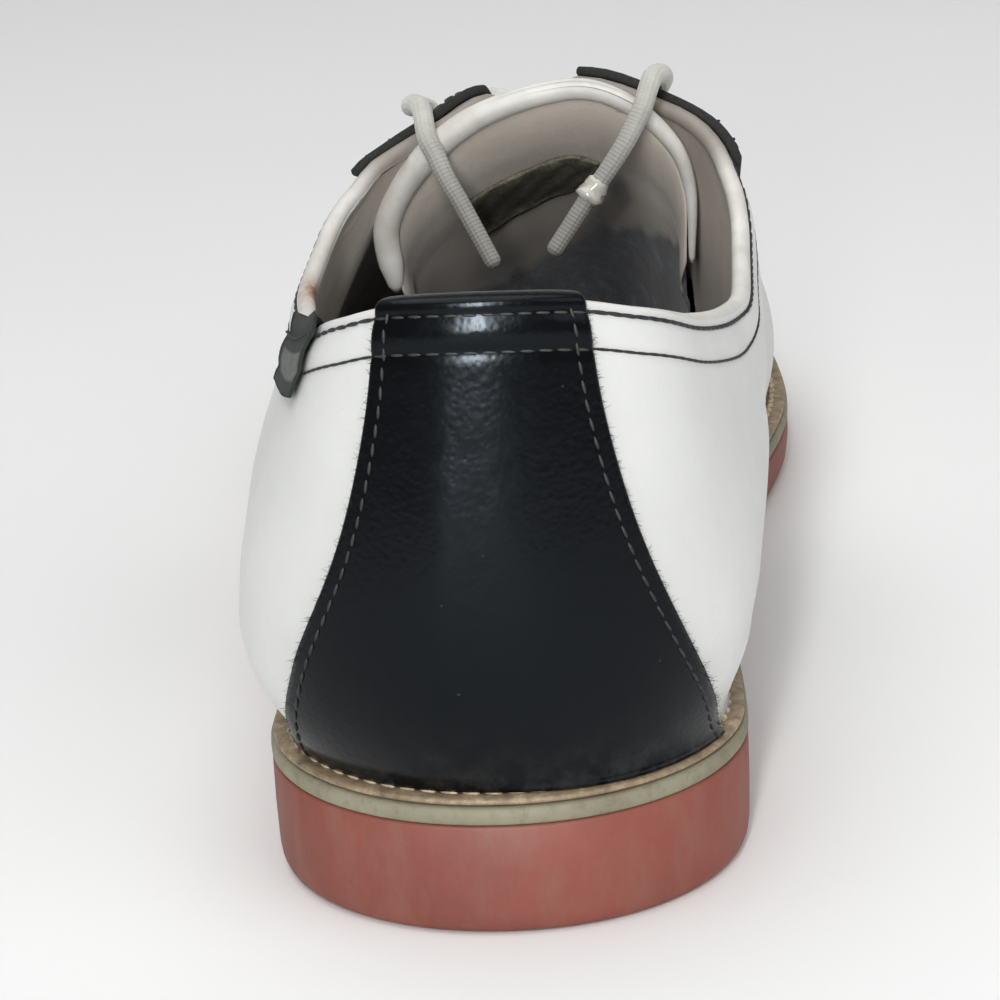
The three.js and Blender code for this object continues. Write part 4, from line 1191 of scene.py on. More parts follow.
def lining_face(share, across):
    """Share runs 0 to 1 from the rolled edge down into the shoe."""
    middle, inward = roll_centre(across)
    top = middle + inward * ROLL * 0.6 + [0, -0.2, 0]
    deep = np.stack([lining_x(across), lining_y(across), lining_z(across)], -1)
    base = top + (deep - top) * np.stack([share, share, share ** 0.8], -1)
    base[:, 1] += 3.0 * np.sin(math.pi * share) * (1 - across ** 2)
    base += inward * (1.0 * np.sin(math.pi * np.clip(share / 0.3, 0, 1)))[:, None]
    fold = soft((across - 0.3) / 0.3) * soft((share - 0.14) / 0.3)
    base[:, 1] -= 3.5 * fold
    crumple = np.sin(share * 19 + across * 4) * np.sin(across * 7 + 1) * 0.35 * soft(share * 3)
    return base + np.stack([0 * crumple, crumple, 0 * crumple], -1)


print("lining's deep border:", len(LINING_END), "points")

# %% [markdown]
# ## The lining's painted shade and light
# The tongue's lining is painted darker deep in the shoe, in a band just under the roll, beside its
# fold and at its ends, as painted shade, and lighter and warmer just under the roll, as painted
# light. The navy sock shows through where the lining ends. The same marks as on the upper say where.

# %% The lining's painted shade and light
def lining_painted_shade(wv, _):
    share, across = wv[:, 0], wv[:, 1]
    # painted shade: darker deep in the shoe, in a band under the roll, beside the fold and at both ends
    deep = 0.75 * soft((share - 0.1) / 0.5)
    groove = 0.25 * np.exp(-((share - 0.13) / 0.03) ** 2)
    fold_line = np.interp(share, [0.1, 0.16, 0.31, 0.51, 0.61], [0.32, 0.27, 0.27, 0.1, -0.05])
    shade = np.exp(-((across - fold_line) / 0.07) ** 2) * soft((share - 0.12) * 8) * soft((0.7 - share) * 8)
    ends = 0.6 * soft((-0.55 - across) * 3) + 0.3 * soft((across - 0.75) * 4)
    return np.clip(deep + groove + shade + ends, 0, 1)


def lining_painted_light(wv, _):
    """Painted light: just below the roll the lining is lighter and warmer."""
    return np.exp(-(wv[:, 0] / 0.07) ** 2)


def lining_sock(wv, _):
    """The navy sock shows below the lining on the medial side."""
    share, across = wv[:, 0], wv[:, 1]
    border = np.interp(across, [-0.33, -0.19, 0.01, 0.13, 0.31, 0.6, 1.0],
                       [0.66, 0.64, 0.54, 0.47, 0.46, 0.37, 0.2])
    wavy = 0.015 * np.sin(across * 31) + 0.01 * np.sin(across * 57 + 1)
    return soft((share - border - wavy) * 22 + 0.5)


shares = np.concatenate([np.linspace(0, 0.2, 14)[:-1], np.linspace(0.2, 1, 34)])
corners, quads = grid(shares, np.linspace(-1, 1, 110), lambda a, b: (a, b))
lining_piece = sheet("tongue_lining_padding", corners, quads, lambda c: lining_face(c[:, 0], c[:, 1]),
                     lambda c: lining_face(c[:, 0], c[:, 1]) + [0, 1.0, 0.8], [TONGUE_LINING] * 3,
                     roll=0.5, rings=2,
                     marks={"shade_and_rub": lining_painted_shade, "rust": unmarked, "sock": lining_sock,
                            "dirt": unmarked, "painted_light": lining_painted_light})
finish(lining_piece, [])
print("lining:", len(lining_piece.data.polygons), "faces")

# %% [markdown]
# ## The bare label
# A woven label is sewn across the middle of the lining. It curls a little at its edges, which are
# worn pale, and it is left bare. It is cut from the same two-step surface as the lining, a little
# in front of it, so it follows every sag.

# %% The bare label
LABEL = np.array([  # along it, top share, top across, bottom share, bottom across
    [0.0, 0.17, -0.47, 0.39, -0.39], [0.35, 0.15, -0.22, 0.34, -0.2], [0.7, 0.13, -0.02, 0.29, -0.01],
    [1.0, 0.15, 0.16, 0.27, 0.12]])
label_at = [curve(LABEL, i) for i in (1, 2, 3, 4)]


def make_label():
    corners, quads = grid(np.linspace(0, 1, 40), np.linspace(0, 1, 18), lambda a, b: (a, b))

    def place(c, off):
        top, bottom = [np.stack([label_at[k](c[:, 0]), label_at[k + 1](c[:, 0])], -1) for k in (0, 2)]
        spot = mix(top, bottom, c[:, 1:])
        curl = 0.25 * np.sin(c[:, 0] * 23 + c[:, 1] * 5) * np.sin(c[:, 1] * 9)
        return lining_face(spot[:, 0], spot[:, 1]) - (off + curl)[:, None] * unit(np.array([0.0, 0.8, 0.6]))

    def edge(wv, _):
        a, b = wv[:, 0], wv[:, 1]
        return 1 - soft(np.minimum.reduce([a * 12, (1 - a) * 12, b * 5, (1 - b) * 5]))

    made = sheet("tongue_label_bare", corners, quads, lambda c: place(c, np.full(len(c), 0.8)),
                 lambda c: place(c, np.full(len(c), 0.35)), [LABEL_CLOTH] * 3, roll=0.4, rings=1,
                 marks={"edge": edge})
    return finish(made, [])


label = make_label()
print("label:", len(label.data.polygons), "faces")

# %% [markdown]
# ## The sole
# Three flat pieces follow the same outline: the red rubber outsole with its low heel, a greige strip,
# and the welt that the upper is stitched to. Each is a stack of outlines, one above the other, which
# rounds their edges as moulding and trimming do.

# %% Stacked outlines
LOOP = np.concatenate([
    np.linspace(-3, -2, 40)[:-1], np.linspace(-2, -1, 90)[:-1], np.linspace(-1, 1, 96)[:-1],
    np.linspace(1, 2, 90)[:-1], np.linspace(2, 3, 40)[:-1]])


def ring(inset, height):
    xy = outline(LOOP, inset)
    return np.concatenate([xy, height(xy[:, 1:] + BACK)], -1)


def stack(name, rings, material, hollow=False):
    """Rings of points joined in order; a hollow stack joins its last ring to its first."""
    count = len(LOOP)
    faces = []
    for k in range(len(rings) if hollow else len(rings) - 1):
        a, b = k * count, (k + 1) % len(rings) * count
        for i in range(count):
            j = (i + 1) % count
            faces.append([a + i, b + i, b + j, a + j])
    if not hollow:
        top = (len(rings) - 1) * count
        for i in range(count // 2):
            p, q = (count - i) % count, count - i - 1
            cap = [i, p, q, i + 1] if p != i else [i, q, i + 1]
            faces += [cap, [top + c for c in reversed(cap)]]
        faces = [face for face in faces if len(set(face)) == len(face)]
    points = np.concatenate(rings)
    volume = sum(np.dot(points[f[0]], np.cross(points[f[a]], points[f[a + 1]]))
                 for f in faces for a in range(1, len(f) - 1))
    faces = [f[::-1] for f in faces] if volume < 0 else faces
    return make_object(name, points, faces, [material], [0] * len(faces))


print("a ring of the sole has", len(LOOP), "points")

# %% [markdown]
# ## Heights of the layers
# From the ground up: outsole, greige strip, welt, each a hair apart as in the CAD source. The insole
# lies inside the welt, on the strip.

# %% Heights of the layers


def welt_foot(d):
    return welt_top(d) - WELT


def midsole_top(d):
    return welt_foot(d) - GAP


def midsole_foot(d):
    return midsole_top(d) - MIDSOLE


def outsole_top(d):
    return midsole_foot(d) - GAP


print("outsole at the heel:", round(float(outsole_top(0.0)), 1), "mm thick")

# %% [markdown]
# ## Outsole, strip, welt and insole
# Each list goes round the piece from its foot to its top: how far in from the edge, and how high.
# Close rings make the rounded edges that a Bevel modifier would, but only where the mould or the
# trimming knife leaves them.

# %% Outsole, strip, welt and insole
outsole = stack("outsole_rubber", [
    ring(14.0, floor_side), ring(3.2, floor_side), ring(2.4, floor_side),
    ring(1.5, lambda d: floor_side(d) + 0.35), ring(0.9, lambda d: floor_side(d) + 0.9),
    ring(0.5, lambda d: floor_side(d) + 1.8), ring(0.3, lambda d: floor_side(d) + 3.2),
    ring(0.1, lambda d: mix(floor_side(d), outsole_top(d), 0.6)),
    ring(0.1, lambda d: outsole_top(d) - 0.3), ring(0.35, lambda d: outsole_top(d) + 0.12),
    ring(3.0, lambda d: outsole_top(d) + 0.12)], RED)
finish(outsole, ["outsole"])
midsole = stack("midsole_strip", [
    ring(3.0, midsole_foot), ring(0.35, midsole_foot), ring(0.05, lambda d: midsole_foot(d) + 0.35),
    ring(0.0, lambda d: mix(midsole_foot(d), midsole_top(d), 0.5)),
    ring(0.05, lambda d: midsole_top(d) - 0.3), ring(0.4, midsole_top), ring(4.0, midsole_top)], GREIGE)
finish(midsole, ["midsole"])
welt = stack("stitched_welt", [
    ring(WELT_WIDTH, welt_foot), ring(0.8, welt_foot), ring(0.45, lambda d: welt_foot(d) + 0.25),
    ring(0.5, lambda d: welt_top(d) - 0.2), ring(0.9, welt_top), ring(1.9, lambda d: welt_top(d) + 0.12),
    ring(3.0, lambda d: welt_top(d) - 0.12), ring(4.2, lambda d: welt_top(d) + 0.05),
    ring(WELT_WIDTH, welt_top)], BRONZE, hollow=True)
finish(welt, ["welt"])
board_inset = INSOLE_INSET - 2.2 * soft((LOOP + 0.1) / 0.5) * soft((2.2 - np.abs(LOOP)) * 2)
insole = stack("insole_footbed", [
    ring(INSOLE_INSET, lambda d: midsole_top(d) + GAP),
    ring(board_inset, lambda d: midsole_top(d) + GAP + INSOLE - 0.8),
    ring(board_inset + 0.4, lambda d: midsole_top(d) + GAP + INSOLE - 0.2),
    ring(board_inset + 1.4, lambda d: midsole_top(d) + GAP + INSOLE),
    ring(INSOLE_INSET + 12, lambda d: midsole_top(d) + GAP + INSOLE - 0.6)], NAVY)
finish(insole, ["insole"])
print("sole pieces:", [len(o.data.polygons) for o in (outsole, midsole, welt, insole)])

# %% [markdown]
# ## The side tab
# A short green ribbon is folded over the lateral collar and sewn in. It has a grey woven patch near
# its lower end, which is left bare. It could be bent from a flat strip with a Curve modifier; here
# its path is a few points out from the collar, as in the CAD source, so it lies on the leather.

# %% Side tab
def tab_rows():
    """The ribbon's path over the collar: v, distance out, and lift, as in the CAD source."""
    outside = GAP + 0.15
    inside = -WALL - outside
    outer = [[0.82, outside + RIBBON, 0], [0.88, outside + RIBBON, 0], [0.94, outside + RIBBON, 0],
             [1, outside + RIBBON, 0.6], [1, outside + 0.2, GAP + RIBBON], [1, inside - 0.2, GAP + RIBBON],
             [1, inside - RIBBON, 0.5], [0.94, inside - RIBBON, 0], [0.88, inside - RIBBON, 0],
             [0.82, inside - RIBBON, 0]]
    inner = [[0.82, outside, 0], [0.88, outside, 0], [0.94, outside, 0], [1, outside, 0.1],
             [1, outside - 0.1, GAP], [1, inside + 0.1, GAP], [1, inside, 0.1], [0.94, inside, 0],
             [0.88, inside, 0], [0.82, inside, 0]]
    return np.array(outer, float), np.array(inner, float)


TAB_REAR, TAB_LEAN, TAB_FOOT = -0.645, 0.9, 0.86


def tab_step(across, v):
    """The ribbon's front edge is the source's; its rear edge lies further back and leans."""
    return mix(TAB_REAR - TAB_LEAN * (1 - v), -step_at(TAB_FRONT), across)


def badge(wv, _):
    """The bare patch, from 0 to 1."""
    across, along = wv[:, 0], wv[:, 1]
    return (soft((along - 0.6) * 8) * soft((1.85 - along) * 8)
            * soft((across - 0.04) * 20) * soft((0.96 - across) * 20))


def make_tab():
    outer, inner = tab_rows()
    corners, quads = grid(np.linspace(0, 1, 26), np.linspace(0, 9, 64), lambda a, b: (a, b))

    def along(table):
        def at(c):
            v, out, lift = (np.interp(c[:, 1], np.arange(10), table[:, k]) for k in range(3))
            v = TAB_FOOT + (v - 0.82) / 0.18 * (1 - TAB_FOOT)
            rear = mix(1.0, 0.45, soft((c[:, 1] - 3.6) / 1.2))
            w = tab_step(1 - (1 - c[:, 0]) * rear, v)
            up = unit(form(w, v) - form(w, v - 0.02))
            over = 0.9 * soft(1.6 - np.abs(c[:, 1] - 4.5) / 1.2)
            return skin(w, v, out + 0.3 * np.sign(out)) + up * lift[:, None] + over[:, None] * [0, 0, 1]
        return at

    outer[:, 1] = mix(outer[:, 1], inner[:, 1], 0.45)
    made = sheet("side_tab_ribbon", corners, quads, along(outer), along(inner), [RIBBON_GREEN] * 3,
                 roll=0.6, rings=2, marks={"badge": badge})
    layer = made.data.uv_layers.new(name="UVMap")
    for loop in made.data.loops:
        spot = made.data.vertices[loop.vertex_index].co / MM
        layer.data[loop.index].uv = (spot.y / 4, spot.z / 4)
    return made


tab = finish(make_tab(), ["side_tab"])
print("tab:", len(tab.data.polygons), "faces")

# %% [markdown]
# ## Swept cords
# A cord is a round section carried along a path. A Blender curve with a bevel does that too, but a
# swept mesh carries its own UV map, in turns round the cord and lace widths along it, and the braid
# of the lace follows that map.

# %% Swept cords
def spline(points, count):
    """A centripetal curve through the points, at count + 1 even places."""
    p = np.asarray(points, float)
    p = np.concatenate([[2 * p[0] - p[1]], p, [2 * p[-1] - p[-2]]])
    out = []
    for place in np.linspace(0, len(p) - 3, count + 1):
        i = min(int(place), len(p) - 4)
        s = place - i
        p0, p1, p2, p3 = p[i:i + 4]
        t1 = max(np.linalg.norm(p1 - p0), 1e-6) ** 0.5
        t2 = max(np.linalg.norm(p2 - p1), 1e-6) ** 0.5
        t3 = max(np.linalg.norm(p3 - p2), 1e-6) ** 0.5
        m1 = ((p1 - p0) / t1 - (p2 - p0) / (t1 + t2) + (p2 - p1) / t2) * t2
        m2 = ((p2 - p1) / t2 - (p3 - p1) / (t2 + t3) + (p3 - p2) / t3) * t2
        out.append((2 * s ** 3 - 3 * s ** 2 + 1) * p1 + (s ** 3 - 2 * s ** 2 + s) * m1
                   + (3 * s ** 2 - 2 * s ** 3) * p2 + (s ** 3 - s ** 2) * m2)
    return np.array(out)


def swept(paths, width, sides=14, ends=0.45, sizes=None):
    """Round tubes along paths: points, faces and each face corner's UV, in turns and lace widths."""
    points, faces, uvs = [], [], []
    for path in paths:
        tangent = unit(np.gradient(path, axis=0))
        normal = unit(np.cross(tangent[0], [0.3, 0.2, 1.0]))
        start = len(points)
        run = np.concatenate([[0], np.cumsum(np.linalg.norm(np.diff(path, axis=0), axis=1))])
        for k, spot in enumerate(path):
            normal = unit(normal - tangent[k] * (normal @ tangent[k]))
            other = np.cross(tangent[k], normal)
            near = min(run[k], run[-1] - run[k])
            size = width / 2 * (1 if near > 0.8 else mix(ends, 1, math.sqrt(near / 0.8)))
            size *= 1.0 if sizes is None else sizes[k]
            for side in range(sides):
                turn = side / sides * 2 * math.pi
                points.append(spot + (normal * math.cos(turn) + other * math.sin(turn)) * size)
        rings = len(path)
        for k in range(rings - 1):
            for side in range(sides):
                a, b = start + k * sides + side, start + k * sides + (side + 1) % sides
                faces.append([a, b, b + sides, a + sides])
                u0, u1, v0, v1 = side / sides, (side + 1) / sides, run[k] / width, run[k + 1] / width
                uvs += [(u0, v0), (u1, v0), (u1, v1), (u0, v1)]
        for ring, order in ((0, -1), (rings - 1, 1)):
            faces.append([start + ring * sides + side for side in range(sides)][::order])
            uvs += [(side / sides, run[ring] / width) for side in range(sides)]
    return points, faces, uvs


def cord_object(name, paths, width, material=None, sides=14, sizes=None, lace_shade=None):
    """A swept cord as a mesh; its last argument is each ring's painted shade, from 0 to 1."""
    points, faces, uvs = swept(paths, width, sides, sizes=sizes)
    marks = {} if lace_shade is None else {"lace_shade": np.repeat(lace_shade, sides)}
    return make_object(name, points, faces, [material or COTTON], [0] * len(faces), marks, uvs)


print("a lace is", LACE, "mm thick")

# %% [markdown]
# ## The tongue's rolled edge
# The white leather is turned round a soft core at the tongue's free end. It is fat at the outer side
# and thins to nothing at the inner one. A swept tube with a size for each place along it gives that
# roll, and its ends taper into the tongue.

# %% The tongue's rolled edge
roll_across = np.linspace(-1, 1, 120)
roll_path = roll_centre(roll_across)[0]
roll_size = np.interp(roll_across, [-1, -0.93, -0.6, 0, 0.4, 0.75, 1],
                      [0.55, 1.1, 1.25, 0.95, 0.8, 0.6, 0.25])
tongue_roll = cord_object("tongue_rolled_edge", [roll_path], ROLL * 2, RIM, 22, sizes=roll_size)
finish(tongue_roll, [])
print("rolled edge:", len(tongue_roll.data.polygons), "faces")

# %% [markdown]
# ## The lace through the throat
# The lace crosses the throat through five pairs of eyelets. Its path uses the same steps as the
# source: under a facing, up through an eyelet, over the edge and under the other facing.

# %% The lace through the throat
OVER = STAND_OFF + OVERLAY + GAP + LACE / 2 + 0.3
UNDER = -WALL - GAP - LACE / 2 - 0.4
MOUTH = STAND_OFF + OVERLAY - 0.2


def in_eyelet(w, to_edge, out):
    return pushed(w, float(up_at(w, EYELET_IN - to_edge)), np.float64(out))


def zigzag(first):
    points = []
    for i, u in enumerate(EYELET_STEPS):
        w = (first if i % 2 == 0 else -first) * u
        points += [in_eyelet(w, 3.2, UNDER), in_eyelet(w, 0.4, UNDER + 1), in_eyelet(w, 0, -WALL / 2),
                   in_eyelet(w, 0, MOUTH)]
        if i + 1 == len(EYELET_STEPS):
            return points
        ahead = EYELET_STEPS[i + 1]
        sign = math.copysign(1, w)
        here, there, across = sign * mix(u, ahead, 0.3), -sign * mix(u, ahead, 0.7), -sign * ahead
        points += [in_eyelet(w, 0.6, OVER - 0.5), in_eyelet(w, 3, OVER + 0.2),
                   pushed(here, 1.0, np.float64(OVER + 0.2)),
                   (pushed(here, 1.0, np.float64(OVER)) + pushed(there, 1.0, np.float64(UNDER))) / 2,
                   pushed(there, 1.0, np.float64(UNDER - 0.1)), in_eyelet(across, 4.5, UNDER - 0.2)]
    return points


first, second = zigzag(1), zigzag(-1)
bar = [pushed(EYELET_STEPS[0], 1.0, np.float64(UNDER)), form(EYELET_STEPS[0], 2.0) + [0, 0, UNDER],
       pushed(-EYELET_STEPS[0], 1.0, np.float64(UNDER))]
joined = [first[2], first[1], first[0]] + bar + second
crossings = cord_object("lace_across_throat", [spline(first, 230), spline(joined, 250)], LACE)
finish(crossings, ["lace_crossings"])
print("lace across:", len(crossings.data.polygons), "faces")

# %% [markdown]
# ## The lace's free ends
# The two free ends come out of the top eyelets, go over the collar and hang down inside the shoe, in
# front of the tongue's lining. They could be simulated as soft cords, but the picture shows how they
# lie, so each route's points are those of its CAD solid. One end keeps a scrap of clear sleeve.

# %% The lace's free ends
END_LATERAL = [
    [-15.4, 74.2, 90.8], [-14.4, 70.0, 92.0], [-13.2, 66.2, 92.1], [-12.6, 62.4, 91.2],
    [-11.9, 59.0, 88.9], [-10.7, 57.6, 86.7], [-9.3, 56.2, 83.7], [-7.2, 54.8, 80.1], [-4.2, 52.7, 74.6], [-2.1, 51.0, 70.8]]
END_MEDIAL = [
    [22.6, 75.6, 91.8], [23.6, 71.4, 94.2], [23.2, 67.2, 95.8], [22.2, 63.0, 96.2], [21.5, 60.0, 95.1],
    [20.6, 57.6, 92.8], [19.3, 56.4, 90.4], [18.0, 55.2, 88.2], [15.1, 53.8, 84.2], [12.4, 53.0, 80.8],
    [8.8, 52.0, 75.8], [6.3, 51.0, 72.4]]


def torn_sleeve(path, first, last):
    """What is left of a clear plastic sleeve: a short ragged tube round the cord."""
    line = path[first:last]
    draws = np.random.default_rng(5)
    sizes = 1.1 + 0.1 * draws.random(len(line)) + 0.3 * (np.arange(len(line)) > len(line) - 4)
    made = cord_object("lace_end_torn_sleeve", [line], LACE, SLEEVE, sizes=sizes)
    for vertex in made.data.vertices:
        vertex.co += Vector(draws.normal(0, 0.14, 3).tolist()) * MM
    return finish(made, [])


def lace_end(node, side, points, sleeve=None):
    w = side * EYELET_STEPS[-1]
    start = [in_eyelet(w, 0, MOUTH + GAP + k) for k in (0.0, 1.4, 2.8)]
    path = spline(start + [np.array(p) for p in points], 110)
    share = np.linspace(0, 1, len(path))
    worn = 1.04 - 0.2 * soft((share - 0.5) / 0.5)
    # painted shade: each end is darker towards its tip, where it hangs deep in the shoe
    made = cord_object(node + "_cord", [path], LACE, sizes=worn, lace_shade=soft((share - 0.15) / 0.85))
    finish(made, [node])
    torn = [torn_sleeve(path, *sleeve)] if sleeve else []


lace_end("lace_end_lateral", -1, END_LATERAL)
lace_end("lace_end_medial", 1, END_MEDIAL, (89, 97))

# %% [markdown]
# ## Stitches
# Every seam is one row of short thread lengths, so one node tree sews them all: it takes a seam's
# line, steps along it, and lays a small capsule at each step. The seams' lines follow the last at a
# set distance from an edge. Tilting the capsules a little gives the slant of a lockstitch.

# %% A node tree that sews
def group_tree(name, numbers):
    """A geometry node tree with a mesh in and out, named numbers and a material."""
    tree = bpy.data.node_groups.new(name, "GeometryNodeTree")
    tree.interface.new_socket("Geometry", in_out="INPUT", socket_type="NodeSocketGeometry")
    for key, value in numbers:
        given = tree.interface.new_socket(key, in_out="INPUT", socket_type="NodeSocketFloat")
        given.default_value = value
    tree.interface.new_socket("Material", in_out="INPUT", socket_type="NodeSocketMaterial")
    tree.interface.new_socket("Geometry", in_out="OUTPUT", socket_type="NodeSocketGeometry")
    return tree, tree.nodes.new("NodeGroupInput").outputs, tree.nodes.new("NodeGroupOutput").inputs


def points_along(tree, given, spacing):
    line = add_node(tree, "GeometryNodeMeshToCurve", Mesh=given)
    return add_node(tree, "GeometryNodeCurveToPoints", {"mode": "LENGTH"}, Curve=line.outputs[0],
                    Length=spacing)


def place_on(tree, points, instance, rotation, scale, material, out):
    placed = add_node(tree, "GeometryNodeInstanceOnPoints", Points=points, Instance=instance,
                      Rotation=rotation, Scale=scale)
    real = add_node(tree, "GeometryNodeRealizeInstances", Geometry=placed.outputs[0])
    made = add_node(tree, "GeometryNodeSetMaterial", Geometry=real.outputs[0], Material=material)
    tree.links.new(made.outputs[0], out)


def stitch_tree():
    sizes = [("Pitch", 0.0022), ("Length", 0.0019), ("Thickness", 0.0006), ("Tilt", 0.0)]
    tree, given, out = group_tree("stitches", sizes)
    steps = points_along(tree, given["Geometry"], given["Pitch"])
    capsule = add_node(tree, "GeometryNodeMeshUVSphere", Segments=8, Rings=6, Radius=0.5)
    smooth = add_node(tree, "GeometryNodeSetShadeSmooth", Geometry=capsule.outputs[0])
    size = add_node(tree, "ShaderNodeCombineXYZ", None, given["Thickness"], given["Thickness"],
                    given["Length"])
    lean = add_node(tree, "ShaderNodeCombineXYZ", Y=given["Tilt"])
    turned = add_node(tree, "FunctionNodeRotateRotation", {"rotation_space": "LOCAL"},
                      Rotation=steps.outputs["Rotation"], Rotate_By=lean.outputs[0])
    place_on(tree, steps.outputs["Points"], smooth.outputs[0], turned.outputs[0], size.outputs[0],
             given["Material"], out[0])
    return tree


STITCHES = stitch_tree()
print("stitch tree:", len(STITCHES.nodes), "nodes")

# %% [markdown]
# ## Fuzz on a cut edge
# Black leather that is cut and left raw sheds short fibres. A hair system could grow them; the same
# idea as the stitches is lighter: a thin three-sided cone at each step, turned any way, most of them
# short and a few long, with a fixed seed.

# %% Fuzz on a cut edge
def fuzz_tree():
    sizes = [("Spacing", 0.0003), ("Length", 0.0016), ("Thickness", 0.00009)]
    tree, given, out = group_tree("fuzz", sizes)
    steps = points_along(tree, given["Geometry"], given["Spacing"])
    hair = add_node(tree, "GeometryNodeMeshCone", Vertices=3, Side_Segments=2, Fill_Segments=1,
                    Radius_Top=0.1, Radius_Bottom=0.5, Depth=1.0)
    turn = add_node(tree, "FunctionNodeRandomValue", {"data_type": "FLOAT_VECTOR"}, (-3.14, -3.14, -3.14),
                    (3.14, 3.14, 3.14), Seed=7)
    length = add_node(tree, "FunctionNodeRandomValue", {"data_type": "FLOAT"}, i2=0.0, i3=1.0,
                      Seed=11).outputs[1]
    for step, values in (("POWER", [2.5]), ("MULTIPLY_ADD", [1.4, 0.25]), ("MULTIPLY", [given["Length"]])):
        length = add_node(tree, "ShaderNodeMath", {"operation": step}, length, *values).outputs[0]
    size = add_node(tree, "ShaderNodeCombineXYZ", None, given["Thickness"], given["Thickness"], length)
    place_on(tree, steps.outputs["Points"], hair.outputs[0], turn.outputs[0], size.outputs[0],
             given["Material"], out[0])
    return tree


FUZZ = fuzz_tree()
print("fuzz tree:", len(FUZZ.nodes), "nodes")

# %% [markdown]
# ## Running a tree along a line
# A tree works on a mesh of bare edges. Its result is kept as a plain mesh and the modifier is taken
# off, so that the object holds thread and not a recipe for it.

# %% Running a tree along a line
def grow(name, lines, tree, settings):
    """Run a tree along lines of points in mm and keep the result as a plain mesh."""
    points, edges = [], []
    for line in lines:
        edges += [(len(points) + k, len(points) + k + 1) for k in range(len(line) - 1)]
        points += [tuple(p) for p in (np.asarray(line) * MM).tolist()]
    mesh = bpy.data.meshes.new(name + "_lines")
    mesh.from_pydata(points, edges, [])
    made = bpy.data.objects.new(name, mesh)
    scene.collection.objects.link(made)
    modifier = made.modifiers.new(name, "NODES")
    modifier.node_group = tree
    for item in tree.interface.items_tree:
        if item.in_out == "INPUT" and item.name in settings:
            modifier[item.identifier] = settings[item.name]
    bpy.context.view_layer.update()
    result = bpy.data.meshes.new_from_object(made.evaluated_get(bpy.context.evaluated_depsgraph_get()))
    result.name = name
    made.modifiers.clear()
    made.data = result
    bpy.data.meshes.remove(mesh)
    finish(made, [])
    print(name + ":", len(result.polygons), "faces")
    return made


def sew(name, lines, pitch, long, thick, tilt, material):
    """A seam: the step, length and thickness of its stitches in mm, and their slant in degrees."""
    settings = {"Pitch": pitch * MM, "Length": long * MM, "Thickness": thick * MM,
                "Tilt": math.radians(tilt), "Material": material}
    return grow(name, lines, STITCHES, settings)


print("a tree's inputs:", [item.name for item in STITCHES.interface.items_tree])


# %% [markdown]
# ## Topline and counter seams
# Two rows of black thread run below the collar, on the white leather, and go on in olive-black
# across the counter. One row more runs down each side of the counter, 2.2 mm in from its cut edge,
# which is fuzzy. A stitch is drawn a little thicker than a real one, so that it shows.

# %% Topline and counter seams
def below_edge(w, distance):
    return np.where(distance < 0.01, 1.0, up_at(w, distance))


def row(w0, w1, distance, out, count=160):
    """A seam a set distance below the collar's edge."""
    w = np.linspace(w0, w1, count)
    return skin(w, below_edge(w, np.full(count, distance)), out)


TAB_STEPS = (TAB_REAR, -float(step_at(TAB_FRONT)))
COLLAR_END = float(step_at(0.332 * LENGTH))
TOP_LATERAL, TOP_MEDIAL = -float(lateral_edge(1.0)), float(medial_edge(1.0))
ON_WHITE = 0.1


def collar_rows(distance, before_tab):
    """A row below the collar in three runs: to the tab, all the medial side, and past the tab."""
    return [row(TOP_LATERAL - 0.01, TAB_STEPS[0] - before_tab, distance, ON_WHITE),
            row(TOP_MEDIAL + 0.01, COLLAR_END, distance, ON_WHITE, 300),
            row(TAB_STEPS[1] - 0.01, -COLLAR_END, distance, ON_WHITE)]


first_rows, second_rows = collar_rows(ROWS_DOWN[0], 0.03), collar_rows(ROWS_DOWN[1], 0.1)
sew("topline_stitches_upper_row", first_rows, 2.3, 3.3, 0.6, 7, BLACK_THREAD)
sew("topline_stitches_lower_row", second_rows, 2.1, 3.2, 0.42, 3, BLACK_THREAD)
OVER_BLACK = STAND_OFF + OVERLAY + 0.05
across_counter = [row(TOP_LATERAL + 0.02, TOP_MEDIAL - 0.02, at, OVER_BLACK, 80) for at in ROWS_DOWN]
sew("counter_stitches_across", across_counter, 2.3, 2.0, 0.45, 6, OLIVE_THREAD)


def counter_edge(side, inset, out, count=120):
    v = np.linspace(0.015, 0.985, count)
    edge = medial_edge(v) if side > 0 else lateral_edge(v)
    return skin(side * (edge - inset / 54.0), v, out)


sew("counter_stitches_down", [counter_edge(side, 2.2, OVER_BLACK) for side in (-1, 1)], 2.5, 1.9, 0.5, 6,
    OLIVE_THREAD)
raw_lines = [counter_edge(side, 0.0, out) for side in (-1, 1) for out in (0.5, 1.0, 1.5)]
fibres = {"Spacing": 0.09 * MM, "Length": 0.85 * MM, "Thickness": 0.09 * MM, "Material": RAW}
grow("counter_edge_fuzz", raw_lines, FUZZ, fibres)
print("counter seams lie", round(OVER_BLACK, 2), "mm out from the last")


# %% [markdown]
# ## Saddle seams
# A double row follows the saddle's rear and front edges, a single row its top edge along the throat,
# and the front rows go on over the ridge. They are sewn by one call, as a machinist sews them in one
# colour.

# %% Saddle seams
def saddle_line(edge, inset, side, low=0.02, high=0.985, count=110):
    v = np.linspace(low, high, count)
    return skin(side * step_at(LENGTH * edge(v) + inset), v, OVER_BLACK)


saddle_lines = [saddle_line(rear_edge, inset, side) for inset in (2.0, 4.6) for side in (-1, 1)]
saddle_lines += [saddle_line(front_edge, -inset, side) for inset in (2.0, 4.6) for side in (-1, 1)]


def throat_line(side, inset):
    """Along the saddle's top edge: from the collar's end to the throat's rounded front."""
    u = np.linspace(step_at(SADDLE[-1, 1] * LENGTH + 3), THROAT_LAST, 130)
    return skin(side * u, up_at(u, np.full(len(u), inset)), OVER_BLACK)


